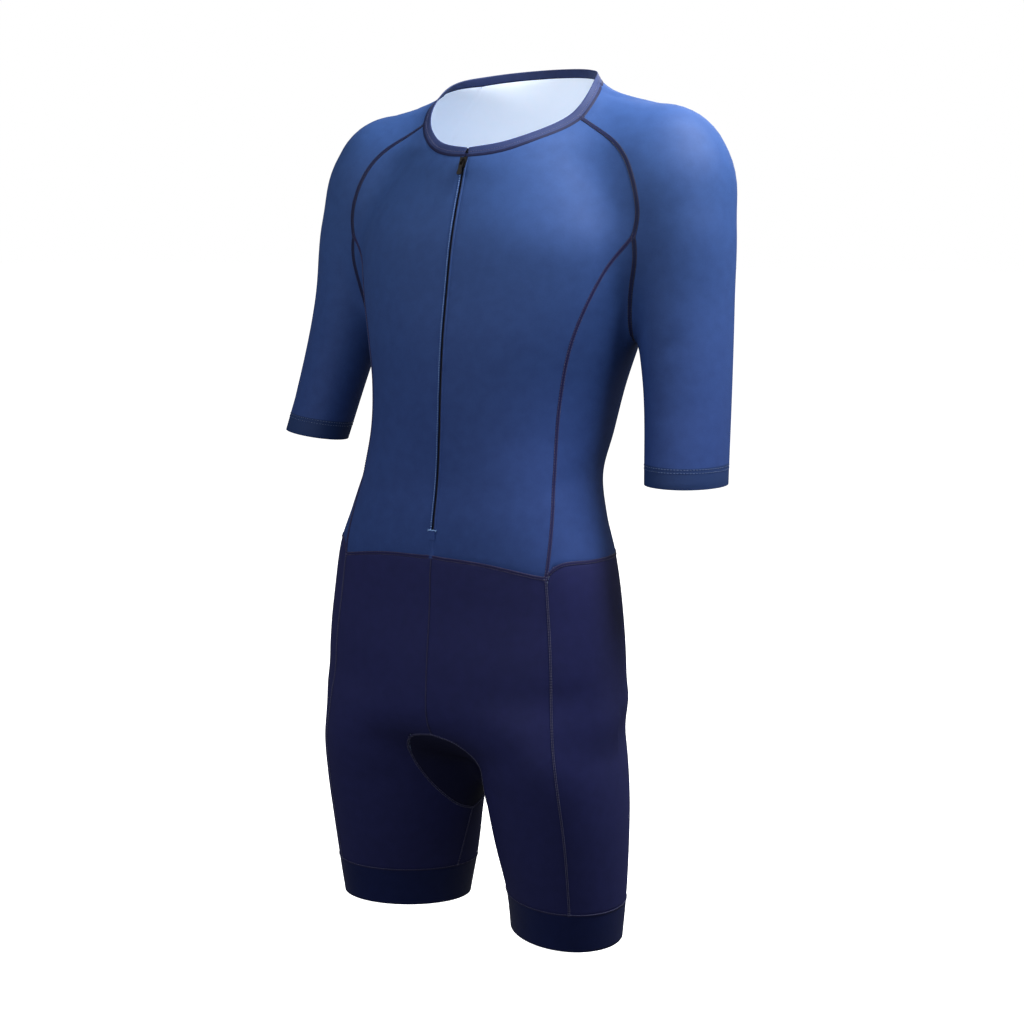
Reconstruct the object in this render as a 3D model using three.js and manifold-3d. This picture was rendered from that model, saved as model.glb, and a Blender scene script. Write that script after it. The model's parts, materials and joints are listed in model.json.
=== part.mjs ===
// A short-sleeved triathlon suit, filled out as if worn, with no wearer inside.
// Raglan sleeves, a full front zip, a back that wraps forward under the arms, fitted shorts
// with a gusset, and a broad elastic band at each thigh. Every cut piece is a thin closed wall.
// Millimetres, +Z up. The suit faces -Y and the wearer's left is +X. The origin is the middle
// of the neck opening at the height of the shoulders, where a wearer holds the suit up.
import * as THREE from "three";
import { mergeVertices } from "three/addons/utils/BufferGeometryUtils.js";
import Module from "manifold-3d";

// Driving sizes
const WALL = 1.6;
const SEAM_GAP = 0.3;
const BINDING = { width: 9, thick: 2.2 };
const ZIP_GAP = 4.4;
const ZIP_END = -436;
const COIL = { width: 3.4, thick: 2.2, top: -84, bottom: -430 };
const TAPE = { width: 26, thick: 1, behind: 0.9, top: -86, bottom: -447 };
const STOP = { width: 7, height: 9, thick: 1.2, at: -436 };
const SLIDER = { at: -87, width: 7, length: 11, thick: 2.2, lift: 1 };
const BRIDGE = { inner: 2.3, outer: 3.4, width: 1.6 };
const PULL = { length: 14, width: 4.4, thick: 1.1, eyeWidth: 2.4, eyeEnd: 4.1, rise: 1.15 };

// Steps along each cut edge. Neighbours share them, so their edges match point for point.
const STEPS = {
  torso: 17,
  sleeve: 13,
  neckFront: 6,
  raglanUpper: 8,
  raglanLower: 5,
  raglanBack: 12,
  neckSide: 5,
  neckBack: 4,
  seatSeam: 7,
  frontSeam: 8,
  gussetEnd: 3,
  gussetFrontSide: 6,
  gussetBackSide: 7,
  inseam: 4,
  band: 3,
};

// Torso rings: half the width, the front and back of the ring, and where it is widest.
const TORSO = [
  { z: -40, half: 116, front: -64, back: 88, widest: 18, square: 1.5 },
  { z: -80, half: 138, front: -89, back: 102, widest: 16, square: 1.6 },
  { z: -120, half: 152, front: -106, back: 108, widest: 10, square: 1.9 },
  { z: -160, half: 158, front: -119, back: 109, widest: 4, square: 2.2 },
  { z: -205, half: 154, front: -128, back: 104, widest: -4, square: 2.2 },
  { z: -250, half: 145, front: -136, back: 95, widest: -15, square: 2.1 },
  { z: -300, half: 134, front: -141, back: 79, widest: -30, square: 2 },
  { z: -346, half: 128, front: -144, back: 60, widest: -43, square: 2.1 },
  { z: -385, half: 125, front: -148, back: 42, widest: -60, square: 2.4 },
  { z: -425, half: 134, front: -156, back: 36, widest: -69, square: 2.5 },
  { z: -461, half: 146, front: -161, back: 38, widest: -75, square: 2.5 },
  { z: -508, half: 154, front: -164, back: 44, widest: -77, square: 2.5 },
  { z: -571, half: 160, front: -171, back: 46, widest: -78, square: 2.5 },
  { z: -620, half: 160, front: -172, back: 40, widest: -76, square: 2.4 },
  { z: -680, half: 152, front: -160, back: 20, widest: -72, square: 2.2 },
];
const TORSO_CAP = { top: -70, topHeight: 62, bottom: -600, bottomHeight: 70 };

// Neck rings, above the shoulders.
const NECK = [
  { z: -90, half: 90, front: -78, back: 92, widest: 10 },
  { z: -45, half: 82, front: -54, back: 89, widest: 12 },
  { z: 0, half: 76, front: -38, back: 86, widest: 16 },
  { z: 60, half: 70, front: -30, back: 80, widest: 18 },
];

// Shoulder rings, upright, one for each distance out from the middle.
const SHOULDER = [
  { x: 0, y: 33, z: -70, fore: 52, rise: 54 },
  { x: 60, y: 33, z: -71, fore: 50, rise: 54 },
  { x: 110, y: 32, z: -77, fore: 49, rise: 54 },
  { x: 150, y: 28, z: -91, fore: 47, rise: 52 },
];
const SHOULDER_CAP = { from: 130, length: 62 };

// Left sleeve rings: the middle, and half the size across (half) and fore and aft.
const ARM = [
  { z: -70, x: 164, y: 19, half: 54, front: 54, back: 54, turn: 0 },
  { z: -110, x: 172, y: 15, half: 53, front: 56, back: 56, turn: -8 },
  { z: -150, x: 180, y: 8, half: 52, front: 56, back: 56, turn: -20 },
  { z: -220, x: 191, y: -5, half: 43, front: 51, back: 51, turn: -30 },
  { z: -300, x: 204, y: -23, half: 37, front: 44, back: 44, turn: -35 },
  { z: -385, x: 214, y: -46, half: 35, front: 42, back: 42, turn: -32 },
  { z: -440, x: 220, y: -61, half: 34, front: 41, back: 41, turn: -32 },
];
const ARM_CAP = { top: -112, topHeight: 66, bottom: -450, bottomHeight: 40 };

// The right sleeve hangs a little further out than the left.
const SWING = { from: -190, to: -385, out: 10 };

// Left leg rings: the middle, half the width, and how far it reaches forwards and back.
const LEG = [
  { z: -600, x: 80, y: -72, half: 70, front: 96, back: 100, turn: 10 },
  { z: -660, x: 86, y: -70, half: 74, front: 98, back: 100, turn: 16 },
  { z: -710, x: 90, y: -66, half: 73, front: 93, back: 95, turn: 20 },
  { z: -760, x: 93, y: -62, half: 69, front: 87, back: 88, turn: 22 },
  { z: -820, x: 96, y: -56, half: 62, front: 81, back: 80, turn: 25 },
  { z: -886, x: 97, y: -57, half: 57, front: 71, back: 68, turn: 25 },
  { z: -960, x: 99, y: -58, half: 54, front: 66, back: 65, turn: 25 },
];
const LEG_CAP = { top: -650, topHeight: 60 };

// How far two forms melt together. Under the arm the sleeve stays close to its own form.
const BLEND = { neck: 30, shoulder: 44, arm: 54, underarm: 22, leg: 44, legs: 64 };
const UNDERARM = { from: -120, to: -220 };

const add = (a, b, k = 1) => [a[0] + b[0] * k, a[1] + b[1] * k, a[2] + b[2] * k];
const sub = (a, b) => add(a, b, -1);
const scale = (a, k) => [a[0] * k, a[1] * k, a[2] * k];
const dot = (a, b) => a[0] * b[0] + a[1] * b[1] + a[2] * b[2];
const cross = (a, b) => [
  a[1] * b[2] - a[2] * b[1],
  a[2] * b[0] - a[0] * b[2],
  a[0] * b[1] - a[1] * b[0],
];
const size = (a) => Math.sqrt(dot(a, a));
const unit = (a) => scale(a, 1 / (size(a) || 1));
const lerp = (a, b, t) => add(scale(a, 1 - t), b, t);
const mirror = (p) => [-p[0], p[1], p[2]];

// A smooth reading of one table between its rows, held at its ends.
function reader(table, key) {
  const columns = Object.keys(table[0]).filter((name) => name !== key);
  const at = table.map((row) => row[key]);
  const down = at[1] < at[0] ? -1 : 1;
  const slopes = {};
  for (const name of columns)
    slopes[name] = table.map((row, i) => {
      const before = table[Math.max(i - 1, 0)];
      const after = table[Math.min(i + 1, table.length - 1)];
      return (after[name] - before[name]) / (after[key] - before[key]);
    });
  return (value) => {
    let i = 0;
    while (i < at.length - 2 && (value - at[i + 1]) * down > 0) i++;
    const span = at[i + 1] - at[i];
    const t = Math.min(1, Math.max(0, (value - at[i]) / span));
    const [t2, t3] = [t * t, t * t * t];
    const result = {};
    for (const name of columns)
      result[name] =
        table[i][name] * (2 * t3 - 3 * t2 + 1) +
        slopes[name][i] * span * (t3 - 2 * t2 + t) +
        table[i + 1][name] * (3 * t2 - 2 * t3) +
        slopes[name][i + 1] * span * (t3 - t2);
    return result;
  };
}

const torsoAt = reader(TORSO, "z");
const neckAt = reader(NECK, "z");
const legAt = reader(LEG, "z");
const armAt = reader(ARM, "z");
const shoulderAt = reader(SHOULDER, "x");

// How far a point lies outside a ring, with an optional rounded end above or below.
function outsideRing(x, y, half, front, back, cap, square = 2) {
  const power = y < 0 ? square : 2;
  const across = Math.abs(x / half) ** power;
  const along = Math.abs(y < 0 ? y / front : y / back) ** power;
  const share = (across + along + cap ** power) ** (1 / power);
  const reach = Math.sqrt(x * x + y * y + cap * cap * half * half);
  return share < 1e-6 ? -Math.min(half, front) : reach * (1 - 1 / share);
}

function torsoField([x, y, z]) {
  const ring = torsoAt(z);
  const cap = topCap(z, TORSO_CAP) + bottomCap(z, TORSO_CAP);
  const { half, widest, front, back, square } = ring;
  return outsideRing(x, y - widest, half, widest - front, back - widest, cap, square);
}

function neckField([x, y, z]) {
  const { half, widest, front, back } = neckAt(z);
  const below = Math.max(0, (-90 - z) / 60);
  return outsideRing(x, y - widest, half, widest - front, back - widest, below);
}

// A limb ring may be turned about its own middle.
function limbField([x, y, z], ring, cap) {
  const turn = (ring.turn * Math.PI) / 180;
  const [dx, dy] = [x - ring.x, y - ring.y];
  const across = dx * Math.cos(turn) + dy * Math.sin(turn);
  const along = dy * Math.cos(turn) - dx * Math.sin(turn);
  return outsideRing(across, along, ring.half, ring.front, ring.back, cap);
}
const topCap = (z, cap) => Math.max(0, (z - cap.top) / cap.topHeight);
const bottomCap = (z, cap) => Math.max(0, (cap.bottom - z) / cap.bottomHeight);
const legField = (p) => limbField(p, legAt(p[2]), topCap(p[2], LEG_CAP));
const armField = (p) =>
  limbField(p, armAt(p[2]), topCap(p[2], ARM_CAP) + bottomCap(p[2], ARM_CAP));

// How far the right sleeve stands out at a height, beyond a mirror of the left.
function swing(z) {
  const down = Math.min(1.3, Math.max(0, (SWING.from - z) / (SWING.from - SWING.to)));
  return down * down * SWING.out;
}

function shoulderField([x, y, z]) {
  const out = Math.abs(x);
  const ring = shoulderAt(out);
  const cap = Math.max(0, (out - SHOULDER_CAP.from) / SHOULDER_CAP.length);
  return outsideRing(y - ring.y, z - ring.z, ring.fore, ring.rise, ring.rise, cap);
}

const share = (value, whole) => Math.min(1, Math.max(0, value / whole));

// A soft minimum: two forms melt together over the given distance.
function melt(a, b, distance) {
  const overlap = Math.max(0, distance - Math.abs(a - b)) / distance;
  return Math.min(a, b) - (overlap * overlap * distance) / 4;
}

// The whole figure: below zero inside, zero on the cloth's outer face.
function field(p) {
  const right = mirror(p);
  const swung = [right[0] - swing(p[2]), p[1], p[2]];
  let value = melt(torsoField(p), neckField(p), BLEND.neck);
  value = melt(value, shoulderField(p), BLEND.shoulder);
  const low = share(UNDERARM.from - p[2], UNDERARM.from - UNDERARM.to);
  const armBlend = BLEND.arm + (BLEND.underarm - BLEND.arm) * low;
  value = melt(value, Math.min(armField(p), armField(swung)), armBlend);
  const legs = melt(legField(p), legField(right), BLEND.legs);
  return melt(value, legs, BLEND.leg);
}

function slope(p) {
  const h = 0.5;
  return [0, 1, 2].map((axis) => {
    const step = [0, 0, 0];
    step[axis] = h;
    return (field(add(p, step)) - field(sub(p, step))) / (2 * h);
  });
}
const outward = (p) => unit(slope(p));

// Moves a point that is near the figure straight onto it.
function settle(p, rounds = 8) {
  let at = p;
  for (let i = 0; i < rounds; i++) {
    const g = slope(at);
    at = add(at, g, -field(at) / Math.max(dot(g, g), 0.2));
  }
  return at;
}

// Where a line from inside the figure first leaves it.
function leave(from, towards) {
  const direction = unit(sub(towards, from));
  let inside = 0;
  let outside = 0;
  for (let i = 0; i < 400 && outside === 0; i++) {
    const value = field(add(from, direction, inside));
    const step = Math.max(1.5, -value * 0.6);
    if (field(add(from, direction, inside + step)) >= 0) outside = inside + step;
    else inside += step;
  }
  for (let i = 0; i < 24; i++) {
    const middle = (inside + outside) / 2;
    if (field(add(from, direction, middle)) >= 0) outside = middle;
    else inside = middle;
  }
  return add(from, direction, (inside + outside) / 2);
}

// Upright lines inside the forms, from which the cloth is seen all round.
const torsoCore = (z) => [0, torsoAt(z).widest];
function hipCore(z) {
  const leg = legAt(z);
  const rise = share(z + 700, 240);
  return [leg.x * (1 - rise) + 70 * rise, leg.y];
}

// A seam through hand-placed points, laid on the figure in even steps.
function seam(points, count) {
  const curve = new THREE.CatmullRomCurve3(
    points.map((p) => new THREE.Vector3(...p)),
    false,
    "centripetal",
  );
  curve.arcLengthDivisions = 400;
  return curve.getSpacedPoints(count).map((p) => settle([p.x, p.y, p.z]));
}
const joined = (...parts) =>
  parts.reduce((all, part) => all.concat(all.length ? part.slice(1) : part), []);
const reversed = (curve) => [...curve].reverse();

// A point as its bearing round a core and its height.
function unroll(p, core, facing) {
  const [x, y] = core(p[2]);
  let bearing = Math.atan2(p[1] - y, p[0] - x);
  if (bearing - facing > Math.PI) bearing -= 2 * Math.PI;
  if (facing - bearing > Math.PI) bearing += 2 * Math.PI;
  return [bearing, p[2]];
}
function roll([bearing, z], core) {
  const [x, y] = core(z);
  return leave([x, y, z], [x + Math.cos(bearing), y + Math.sin(bearing), z]);
}

// A cut piece as rows of points: four edges laid out flat round the core, filled between,
// and rolled back onto the figure.
function patch(left, right, top, bottom, core, facing) {
  const [rows, columns] = [left.length - 1, top.length - 1];
  const [l, r, t, b] = [left, right, top, bottom].map((edge) =>
    edge.map((p) => unroll(p, core, facing)),
  );
  const mix = (p, q, k) => [p[0] + (q[0] - p[0]) * k, p[1] + (q[1] - p[1]) * k];
  const grid = [];
  for (let j = 0; j <= rows; j++) {
    const v = j / rows;
    const row = [];
    for (let i = 0; i <= columns; i++) {
      const u = i / columns;
      const across = mix(l[j], r[j], u);
      const along = mix(t[i], b[i], v);
      const corners = mix(mix(t[0], t[columns], u), mix(b[0], b[columns], u), v);
      const flat = [0, 1].map((k) => across[k] + along[k] - corners[k]);
      if (j === 0) row.push(top[i]);
      else if (j === rows) row.push(bottom[i]);
      else if (i === 0) row.push(left[j]);
      else if (i === columns) row.push(right[j]);
      else row.push(roll(flat, core));
    }
    grid.push(row);
  }
  return grid;
}

// Evens out the inside of a grid on the figure. Some rows and columns at its edges stay.
function relaxed(grid, rounds, { closed = false, held = 1 } = {}) {
  const [last, columns] = [grid.length - 1, grid[0].length];
  let rows = grid;
  for (let k = 0; k < rounds; k++)
    rows = rows.map((row, j) =>
      row.map((p, i) => {
        const atSide = !closed && (i < held || i >= columns - held);
        if (atSide || j < held || j > last - held) return p;
        const beside = add(row[(i + columns - 1) % columns], row[(i + 1) % columns]);
        const around = add(beside, add(rows[j - 1][i], rows[j + 1][i]));
        return settle(scale(around, 1 / 4), 2);
      }),
    );
  return rows;
}

// A closed loop round a tube, cut by a plane that tips with the tube.
function loopAt([x, y, z], tip, bearings) {
  return bearings.map((bearing) => {
    const [dx, dy] = [Math.cos(bearing), Math.sin(bearing)];
    const aim = [x + dx, y + dy, z + tip.x * dx + tip.y * dy];
    return leave([x, y, z], aim);
  });
}
const degrees = (value) => (value * Math.PI) / 180;
const sweep = (from, to, steps) =>
  Array.from({ length: steps + 1 }, (_, i) => degrees(from + ((to - from) * i) / steps));

// Draws the free edges of a grid back by half the seam gap.
function trimmed(grid, closed, gap) {
  const [rows, columns] = [grid.length - 1, grid[0].length - 1];
  const inset = (at, inner, a, b) => {
    const tangent = unit(sub(b, a));
    const inwards = sub(inner, at);
    return unit(add(inwards, tangent, -dot(inwards, tangent)));
  };
  return grid.map((row, j) =>
    row.map((at, i) => {
      let moved = at;
      if (j === 0 || j === rows) {
        const inner = grid[j === 0 ? 1 : rows - 1][i];
        const before = closed ? row[(i + columns) % (columns + 1)] : row[Math.max(i - 1, 0)];
        const after = closed ? row[(i + 1) % (columns + 1)] : row[Math.min(i + 1, columns)];
        moved = add(moved, inset(at, inner, before, after), gap / 2);
      }
      if (!closed && (i === 0 || i === columns)) {
        const inner = row[i === 0 ? 1 : columns - 1];
        const before = grid[Math.max(j - 1, 0)][i];
        const after = grid[Math.min(j + 1, rows)][i];
        moved = add(moved, inset(at, inner, before, after), gap / 2);
      }
      return moved;
    }),
  );
}

// A closed wall from a grid: an outer face, an inner face and the rims between them.
function wall(grid, thickness, { closed = false, lift = 0, gap = SEAM_GAP } = {}) {
  const cut = trimmed(grid, closed, gap);
  const [rows, columns] = [cut.length, cut[0].length];
  const positions = [];
  const faces = [];
  for (const depth of [lift, lift - thickness])
    for (const row of cut) for (const p of row) positions.push(...add(p, outward(p), depth));
  const vertex = (layer, j, i) => (layer * rows + j) * columns + (i % columns);
  const quad = (a, b, c, d) => faces.push(a, b, c, a, c, d);
  const last = closed ? columns : columns - 1;
  for (let j = 0; j < rows - 1; j++)
    for (let i = 0; i < last; i++) {
      quad(vertex(0, j, i), vertex(0, j + 1, i), vertex(0, j + 1, i + 1), vertex(0, j, i + 1));
      quad(vertex(1, j, i), vertex(1, j, i + 1), vertex(1, j + 1, i + 1), vertex(1, j + 1, i));
    }
  for (let i = 0; i < last; i++) {
    quad(vertex(0, 0, i), vertex(0, 0, i + 1), vertex(1, 0, i + 1), vertex(1, 0, i));
    const j = rows - 1;
    quad(vertex(0, j, i + 1), vertex(0, j, i), vertex(1, j, i), vertex(1, j, i + 1));
  }
  if (!closed)
    for (let j = 0; j < rows - 1; j++) {
      quad(vertex(0, j + 1, 0), vertex(0, j, 0), vertex(1, j, 0), vertex(1, j + 1, 0));
      const i = columns - 1;
      quad(vertex(0, j, i), vertex(0, j + 1, i), vertex(1, j + 1, i), vertex(1, j, i));
    }
  const geometry = new THREE.BufferGeometry();
  geometry.setAttribute("position", new THREE.Float32BufferAttribute(positions, 3));
  geometry.setIndex(faces);
  return facingOut(geometry);
}

// Turns every face round where the wall came out inside out.
function facingOut(geometry) {
  const position = geometry.getAttribute("position");
  const index = geometry.getIndex();
  const corner = (i) => new THREE.Vector3().fromBufferAttribute(position, index.getX(i));
  let volume = 0;
  for (let i = 0; i < index.count; i += 3)
    volume += corner(i).dot(corner(i + 1).cross(corner(i + 2)));
  if (volume < 0)
    for (let i = 0; i < index.count; i += 3) {
      const kept = index.getX(i);
      index.setX(i, index.getX(i + 1));
      index.setX(i + 1, kept);
    }
  geometry.computeVertexNormals();
  return geometry;
}

// Seams on the wearer's left, from corner to corner.
const EDGE = ZIP_GAP / 2;
const SEAM = {
  neckFront: [[EDGE, -88, -81], [32, -80, -78], [59, -55, -67], [76, -39, -57], [89, -23, -44]],
  neckSide: [[89, -23, -44], [93, -4, -28], [90, 11, -18], [83, 29, -8], [69, 57, 0]],
  neckBack: [[69, 57, 0], [38, 79, 5], [0, 89, 7]],
  raglanUpper: [
    [89, -23, -44],
    [104, -27, -52],
    [119, -34, -58],
    [144, -43, -82],
    [162, -52, -133],
    [159, -53, -154],
  ],
  raglanLower: [[159, -53, -154], [160, -52, -180], [152, -47, -215], [150, -24, -238], [149, 0, -244]],
  raglanBack: [
    [149, 0, -244],
    [152, 20, -228],
    [156, 38, -198],
    [166, 56, -160],
    [158, 74, -110],
    [130, 84, -66],
    [98, 74, -22],
    [69, 57, 0],
  ],
  zip: [[EDGE, -88, -81], [EDGE, -116, -158], [EDGE, -141, -300], [EDGE, -156, -425], [EDGE, -161, -457]],
  princess: [
    [159, -53, -154],
    [134, -72, -193],
    [115, -92, -250],
    [106, -98, -306],
    [106, -107, -362],
    [112, -124, -416],
    [114, -140, -470],
  ],
  backSeam: [[0, 89, 7], [0, 108, -100], [0, 104, -205], [0, 62, -346], [0, 38, -450]],
  waistFront: [[EDGE, -161, -457], [55, -157, -459], [114, -140, -470]],
  waistBack: [
    [114, -140, -470],
    [119, -134, -458],
    [141, -100, -458],
    [134, -30, -462],
    [84, 24, -456],
    [0, 38, -450],
  ],
  frontSeam: [[0, -161, -457], [0, -171, -572], [0, -163, -634]],
  legFront: [[114, -140, -470], [122, -146, -540], [130, -154, -640], [136, -142, -730]],
  seatSeam: [[0, 38, -450], [0, 46, -540], [0, 42, -603]],
  gussetFrontEnd: [[0, -163, -634], [27, -160, -640]],
  gussetFrontSide: [
    [27, -160, -640],
    [40, -147, -657],
    [40, -136, -675],
    [32, -112, -710],
    [21, -66, -750],
    [20, -56, -752],
  ],
  gussetBackEnd: [[0, 42, -603], [26, 39, -612]],
  gussetBackSide: [
    [26, 39, -612],
    [34, 28, -636],
    [36, 12, -668],
    [30, -8, -710],
    [20, -36, -748],
    [20, -56, -752],
  ],
  inseam: [[20, -56, -752], [28, -58, -795]],
};

// The hems: the middle of each loop, and how its plane tips sideways and forwards.
const HEM = {
  band: { at: [96, -57, -821], tip: { x: 0, y: -0.18 } },
  leg: { at: [97, -57, -862], tip: { x: 0, y: -0.18 } },
  left: { at: [214, -46, -385], tip: { x: 0, y: 0 } },
  right: { at: [-222, -42, -366], tip: { x: -0.12, y: -0.1 } },
};
const SIDE_SEAM_BEARING = -61;
const INSEAM_BEARING = 184;

const GUSSET_CORE = [0, -60, -590];
const SLEEVE_CORE = [
  [100, 28, -82],
  [150, 24, -100],
  [180, 8, -150],
  [191, -5, -220],
  [204, -23, -300],
  [214, -46, -385],
];

// The left half's seams on the figure. The front edge closes up below the zip.
const S = {};
for (const [name, steps] of Object.entries({
  neckFront: STEPS.neckFront,
  neckSide: STEPS.neckSide,
  neckBack: STEPS.neckBack,
  raglanUpper: STEPS.raglanUpper,
  raglanLower: STEPS.raglanLower,
  raglanBack: STEPS.raglanBack,
  zip: STEPS.torso,
  princess: STEPS.torso,
  backSeam: STEPS.torso,
  waistFront: STEPS.neckFront + STEPS.raglanUpper,
  waistBack: STEPS.raglanLower + STEPS.raglanBack + STEPS.neckBack,
  frontSeam: STEPS.frontSeam,
  seatSeam: STEPS.seatSeam,
  gussetFrontEnd: STEPS.gussetEnd,
  gussetFrontSide: STEPS.gussetFrontSide,
  gussetBackEnd: STEPS.gussetEnd,
  gussetBackSide: STEPS.gussetBackSide,
}))
  S[name] = seam(SEAM[name], steps);

const zipEdge = S.zip.map((p) => (p[2] < ZIP_END - 8 ? [0, p[1], p[2]] : p));
const waistFront = [zipEdge[STEPS.torso], ...S.waistFront.slice(1)];

// Shorts: the band loop runs from the inseam forwards round the outside and back.
const frontBearings = sweep(INSEAM_BEARING - 360, SIDE_SEAM_BEARING, waistFront.length - 1);
const backBearings = sweep(SIDE_SEAM_BEARING, INSEAM_BEARING, S.waistBack.length - 1);
const bandFront = loopAt(HEM.band.at, HEM.band.tip, frontBearings);
const bandBack = loopAt(HEM.band.at, HEM.band.tip, backBearings);
bandBack[bandBack.length - 1] = bandFront[0];
const inseam = seam([...SEAM.inseam, bandFront[0]], STEPS.inseam);
const legSteps = STEPS.frontSeam + STEPS.gussetEnd + STEPS.gussetFrontSide + STEPS.inseam;
const legFront = seam([...SEAM.legFront, bandBack[0]], legSteps);

// The waist edge of the shorts front starts at the middle, like the seam below it.
const crotchFront = joined(S.frontSeam, S.gussetFrontEnd, S.gussetFrontSide, inseam);
const crotchBack = joined(S.seatSeam, S.gussetBackEnd, S.gussetBackSide, inseam);

const grids = {
  front: relaxed(
    patch(
      zipEdge,
      S.princess,
      joined(S.neckFront, S.raglanUpper),
      waistFront,
      torsoCore,
      degrees(-60),
    ),
    6,
    { held: 2 },
  ),
  back: relaxed(
    patch(
      S.princess,
      S.backSeam,
      joined(S.raglanLower, S.raglanBack, S.neckBack),
      S.waistBack,
      torsoCore,
      degrees(30),
    ),
    6,
    { held: 2 },
  ),
  legFront: patch(crotchFront, legFront, waistFront, bandFront, hipCore, degrees(-90)),
  legBack: patch(legFront, crotchBack, S.waistBack, bandBack, hipCore, degrees(60)),
};

// Settles a mirrored grid on the wearer's right.
const toRight = (grid) => grid.map((row) => row.map((p) => settle(mirror(p))));

// A sleeve: its open head follows the armhole and the neck, and its rows slide down a bent core.
function sleeveGrid(head, hem, side) {
  const core = new THREE.CatmullRomCurve3(
    SLEEVE_CORE.map(([x, y, z]) => {
      const out = side < 0 ? swing(z) : 0;
      return new THREE.Vector3(side * (x + out), y, z);
    }),
  );
  const at = (t) => core.getPoint(t).toArray();
  const bearings = sweep(-180, 180, head.length - 1).map((a) => (side > 0 ? a : Math.PI - a));
  const ring = loopAt(hem.at, hem.tip, bearings);
  const rows = [head];
  const starts = head.map((p) => {
    let best = 0;
    for (let t = 0; t < 0.9; t += 0.01) if (size(sub(p, at(t))) < size(sub(p, at(best)))) best = t;
    return best;
  });
  for (let j = 1; j <= STEPS.sleeve; j++) {
    const v = j / STEPS.sleeve;
    rows.push(
      head.map((p, i) => {
        if (j === STEPS.sleeve) return ring[i];
        const from = at(starts[i] + (1 - starts[i]) * v);
        const first = unit(sub(p, at(starts[i])));
        const last = unit(sub(ring[i], at(1)));
        return leave(from, add(from, lerp(first, last, v)));
      }),
    );
  }
  return rows;
}

const armhole = joined(
  reversed(S.raglanLower),
  reversed(S.raglanUpper),
  S.neckSide,
  reversed(S.raglanBack),
);
// A strip that stands on a seam and runs up the figure from it.
function stripAbove(edge, width, steps) {
  const headings = edge.map((p, i) => {
    const along = sub(edge[Math.min(i + 1, edge.length - 1)], edge[Math.max(i - 1, 0)]);
    const heading = unit(cross(outward(p), along));
    return heading[2] < 0 ? scale(heading, -1) : heading;
  });
  const rows = [edge];
  for (let k = 1; k <= steps; k++)
    rows.push(rows[k - 1].map((p, i) => settle(add(p, headings[i], width / steps))));
  return rows;
}

// A strip along the middle of the front, with a row at each height.
const frontAt = (x, z) => leave([x, torsoAt(z).widest, z], [x, -400, z]);
const frontStrip = (width, columns, heights) =>
  heights.map((z) =>
    Array.from({ length: columns + 1 }, (_, i) => frontAt(width * (i / columns - 0.5), z)),
  );

// The seat gusset: filled in between its four edges, then pressed out onto the figure.
function gussetGrid() {
  const side = joined(S.gussetFrontSide, reversed(S.gussetBackSide));
  const across = (half) => joined(reversed(half.map(mirror)), half);
  const [top, bottom] = [across(S.gussetFrontEnd), across(S.gussetBackEnd)];
  const [rows, columns] = [side.length - 1, top.length - 1];
  return side.map((right, j) =>
    top.map((_, i) => {
      const [u, v] = [i / columns, j / rows];
      if (j === 0) return top[i];
      if (j === rows) return bottom[i];
      if (i === 0) return mirror(right);
      if (i === columns) return right;
      const ruled = add(lerp(mirror(right), right, u), lerp(top[i], bottom[i], v));
      const upper = lerp(top[0], top[columns], u);
      const lower = lerp(bottom[0], bottom[columns], u);
      return leave(GUSSET_CORE, sub(ruled, lerp(upper, lower, v)));
    }),
  );
}

// The elastic band: a ring from the shorts' lower edge down to the hem.
function bandGrid() {
  const bearings = [...frontBearings, ...backBearings.slice(1)].slice(0, -1);
  const top = joined(bandFront, bandBack).slice(0, -1);
  const bottom = loopAt(HEM.leg.at, HEM.leg.tip, bearings);
  return Array.from({ length: STEPS.band + 1 }, (_, j) =>
    top.map((p, i) => {
      if (j === 0) return p;
      if (j === STEPS.band) return bottom[i];
      return settle(lerp(p, bottom[i], j / STEPS.band));
    }),
  );
}

// The back runs from one side seam to the other in one piece.
const backRight = toRight(grids.back);
const backGrid = grids.back.map((row, j) => [...row, ...reversed(backRight[j]).slice(1)]);
const neckLeft = joined(S.neckFront, S.neckSide, S.neckBack);
const neckline = joined(neckLeft, reversed(neckLeft.map((p) => settle(mirror(p)))));
const tube = (grid) => grid.map((row) => row.slice(0, -1));
const armholeRight = armhole.map((p) => settle(mirror(p)));
const sleeveLeft = relaxed(tube(sleeveGrid(armhole, HEM.left, 1)), 4, { closed: true });
const sleeveRight = relaxed(tube(sleeveGrid(armholeRight, HEM.right, -1)), 4, { closed: true });
const band = bandGrid();

// The zip. Tape and coil have a row wherever the fronts have one.
const between = (top, bottom) => [
  top,
  ...zipEdge.map((p) => p[2]).filter((z) => z < top - 4 && z > bottom + 4),
  bottom,
];
const tape = frontStrip(TAPE.width, 4, between(TAPE.top, TAPE.bottom));
const coil = frontStrip(COIL.width, 1, between(COIL.top, COIL.bottom));
const stopHeights = [STOP.at + STOP.height / 2, STOP.at - STOP.height / 2];
const stop = frontStrip(STOP.width, 2, stopHeights);

// The slider's own axes: across, up the front, and out of it.
const sliderFoot = frontAt(0, SLIDER.at);
const ACROSS = [1, 0, 0];
const OUT = outward(sliderFoot);
const ALONG = cross(OUT, ACROSS);

// A flat shape drawn on two axes and given a thickness along the third.
function cutOut(shape, thick, at, first, second, third) {
  const geometry = new THREE.ExtrudeGeometry(shape, {
    depth: thick,
    bevelEnabled: false,
    curveSegments: 10,
  });
  const axes = [first, second, third].map((axis) => new THREE.Vector3(...axis));
  const frame = new THREE.Matrix4().makeBasis(...axes).setPosition(...at);
  return geometry.applyMatrix4(frame);
}

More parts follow.
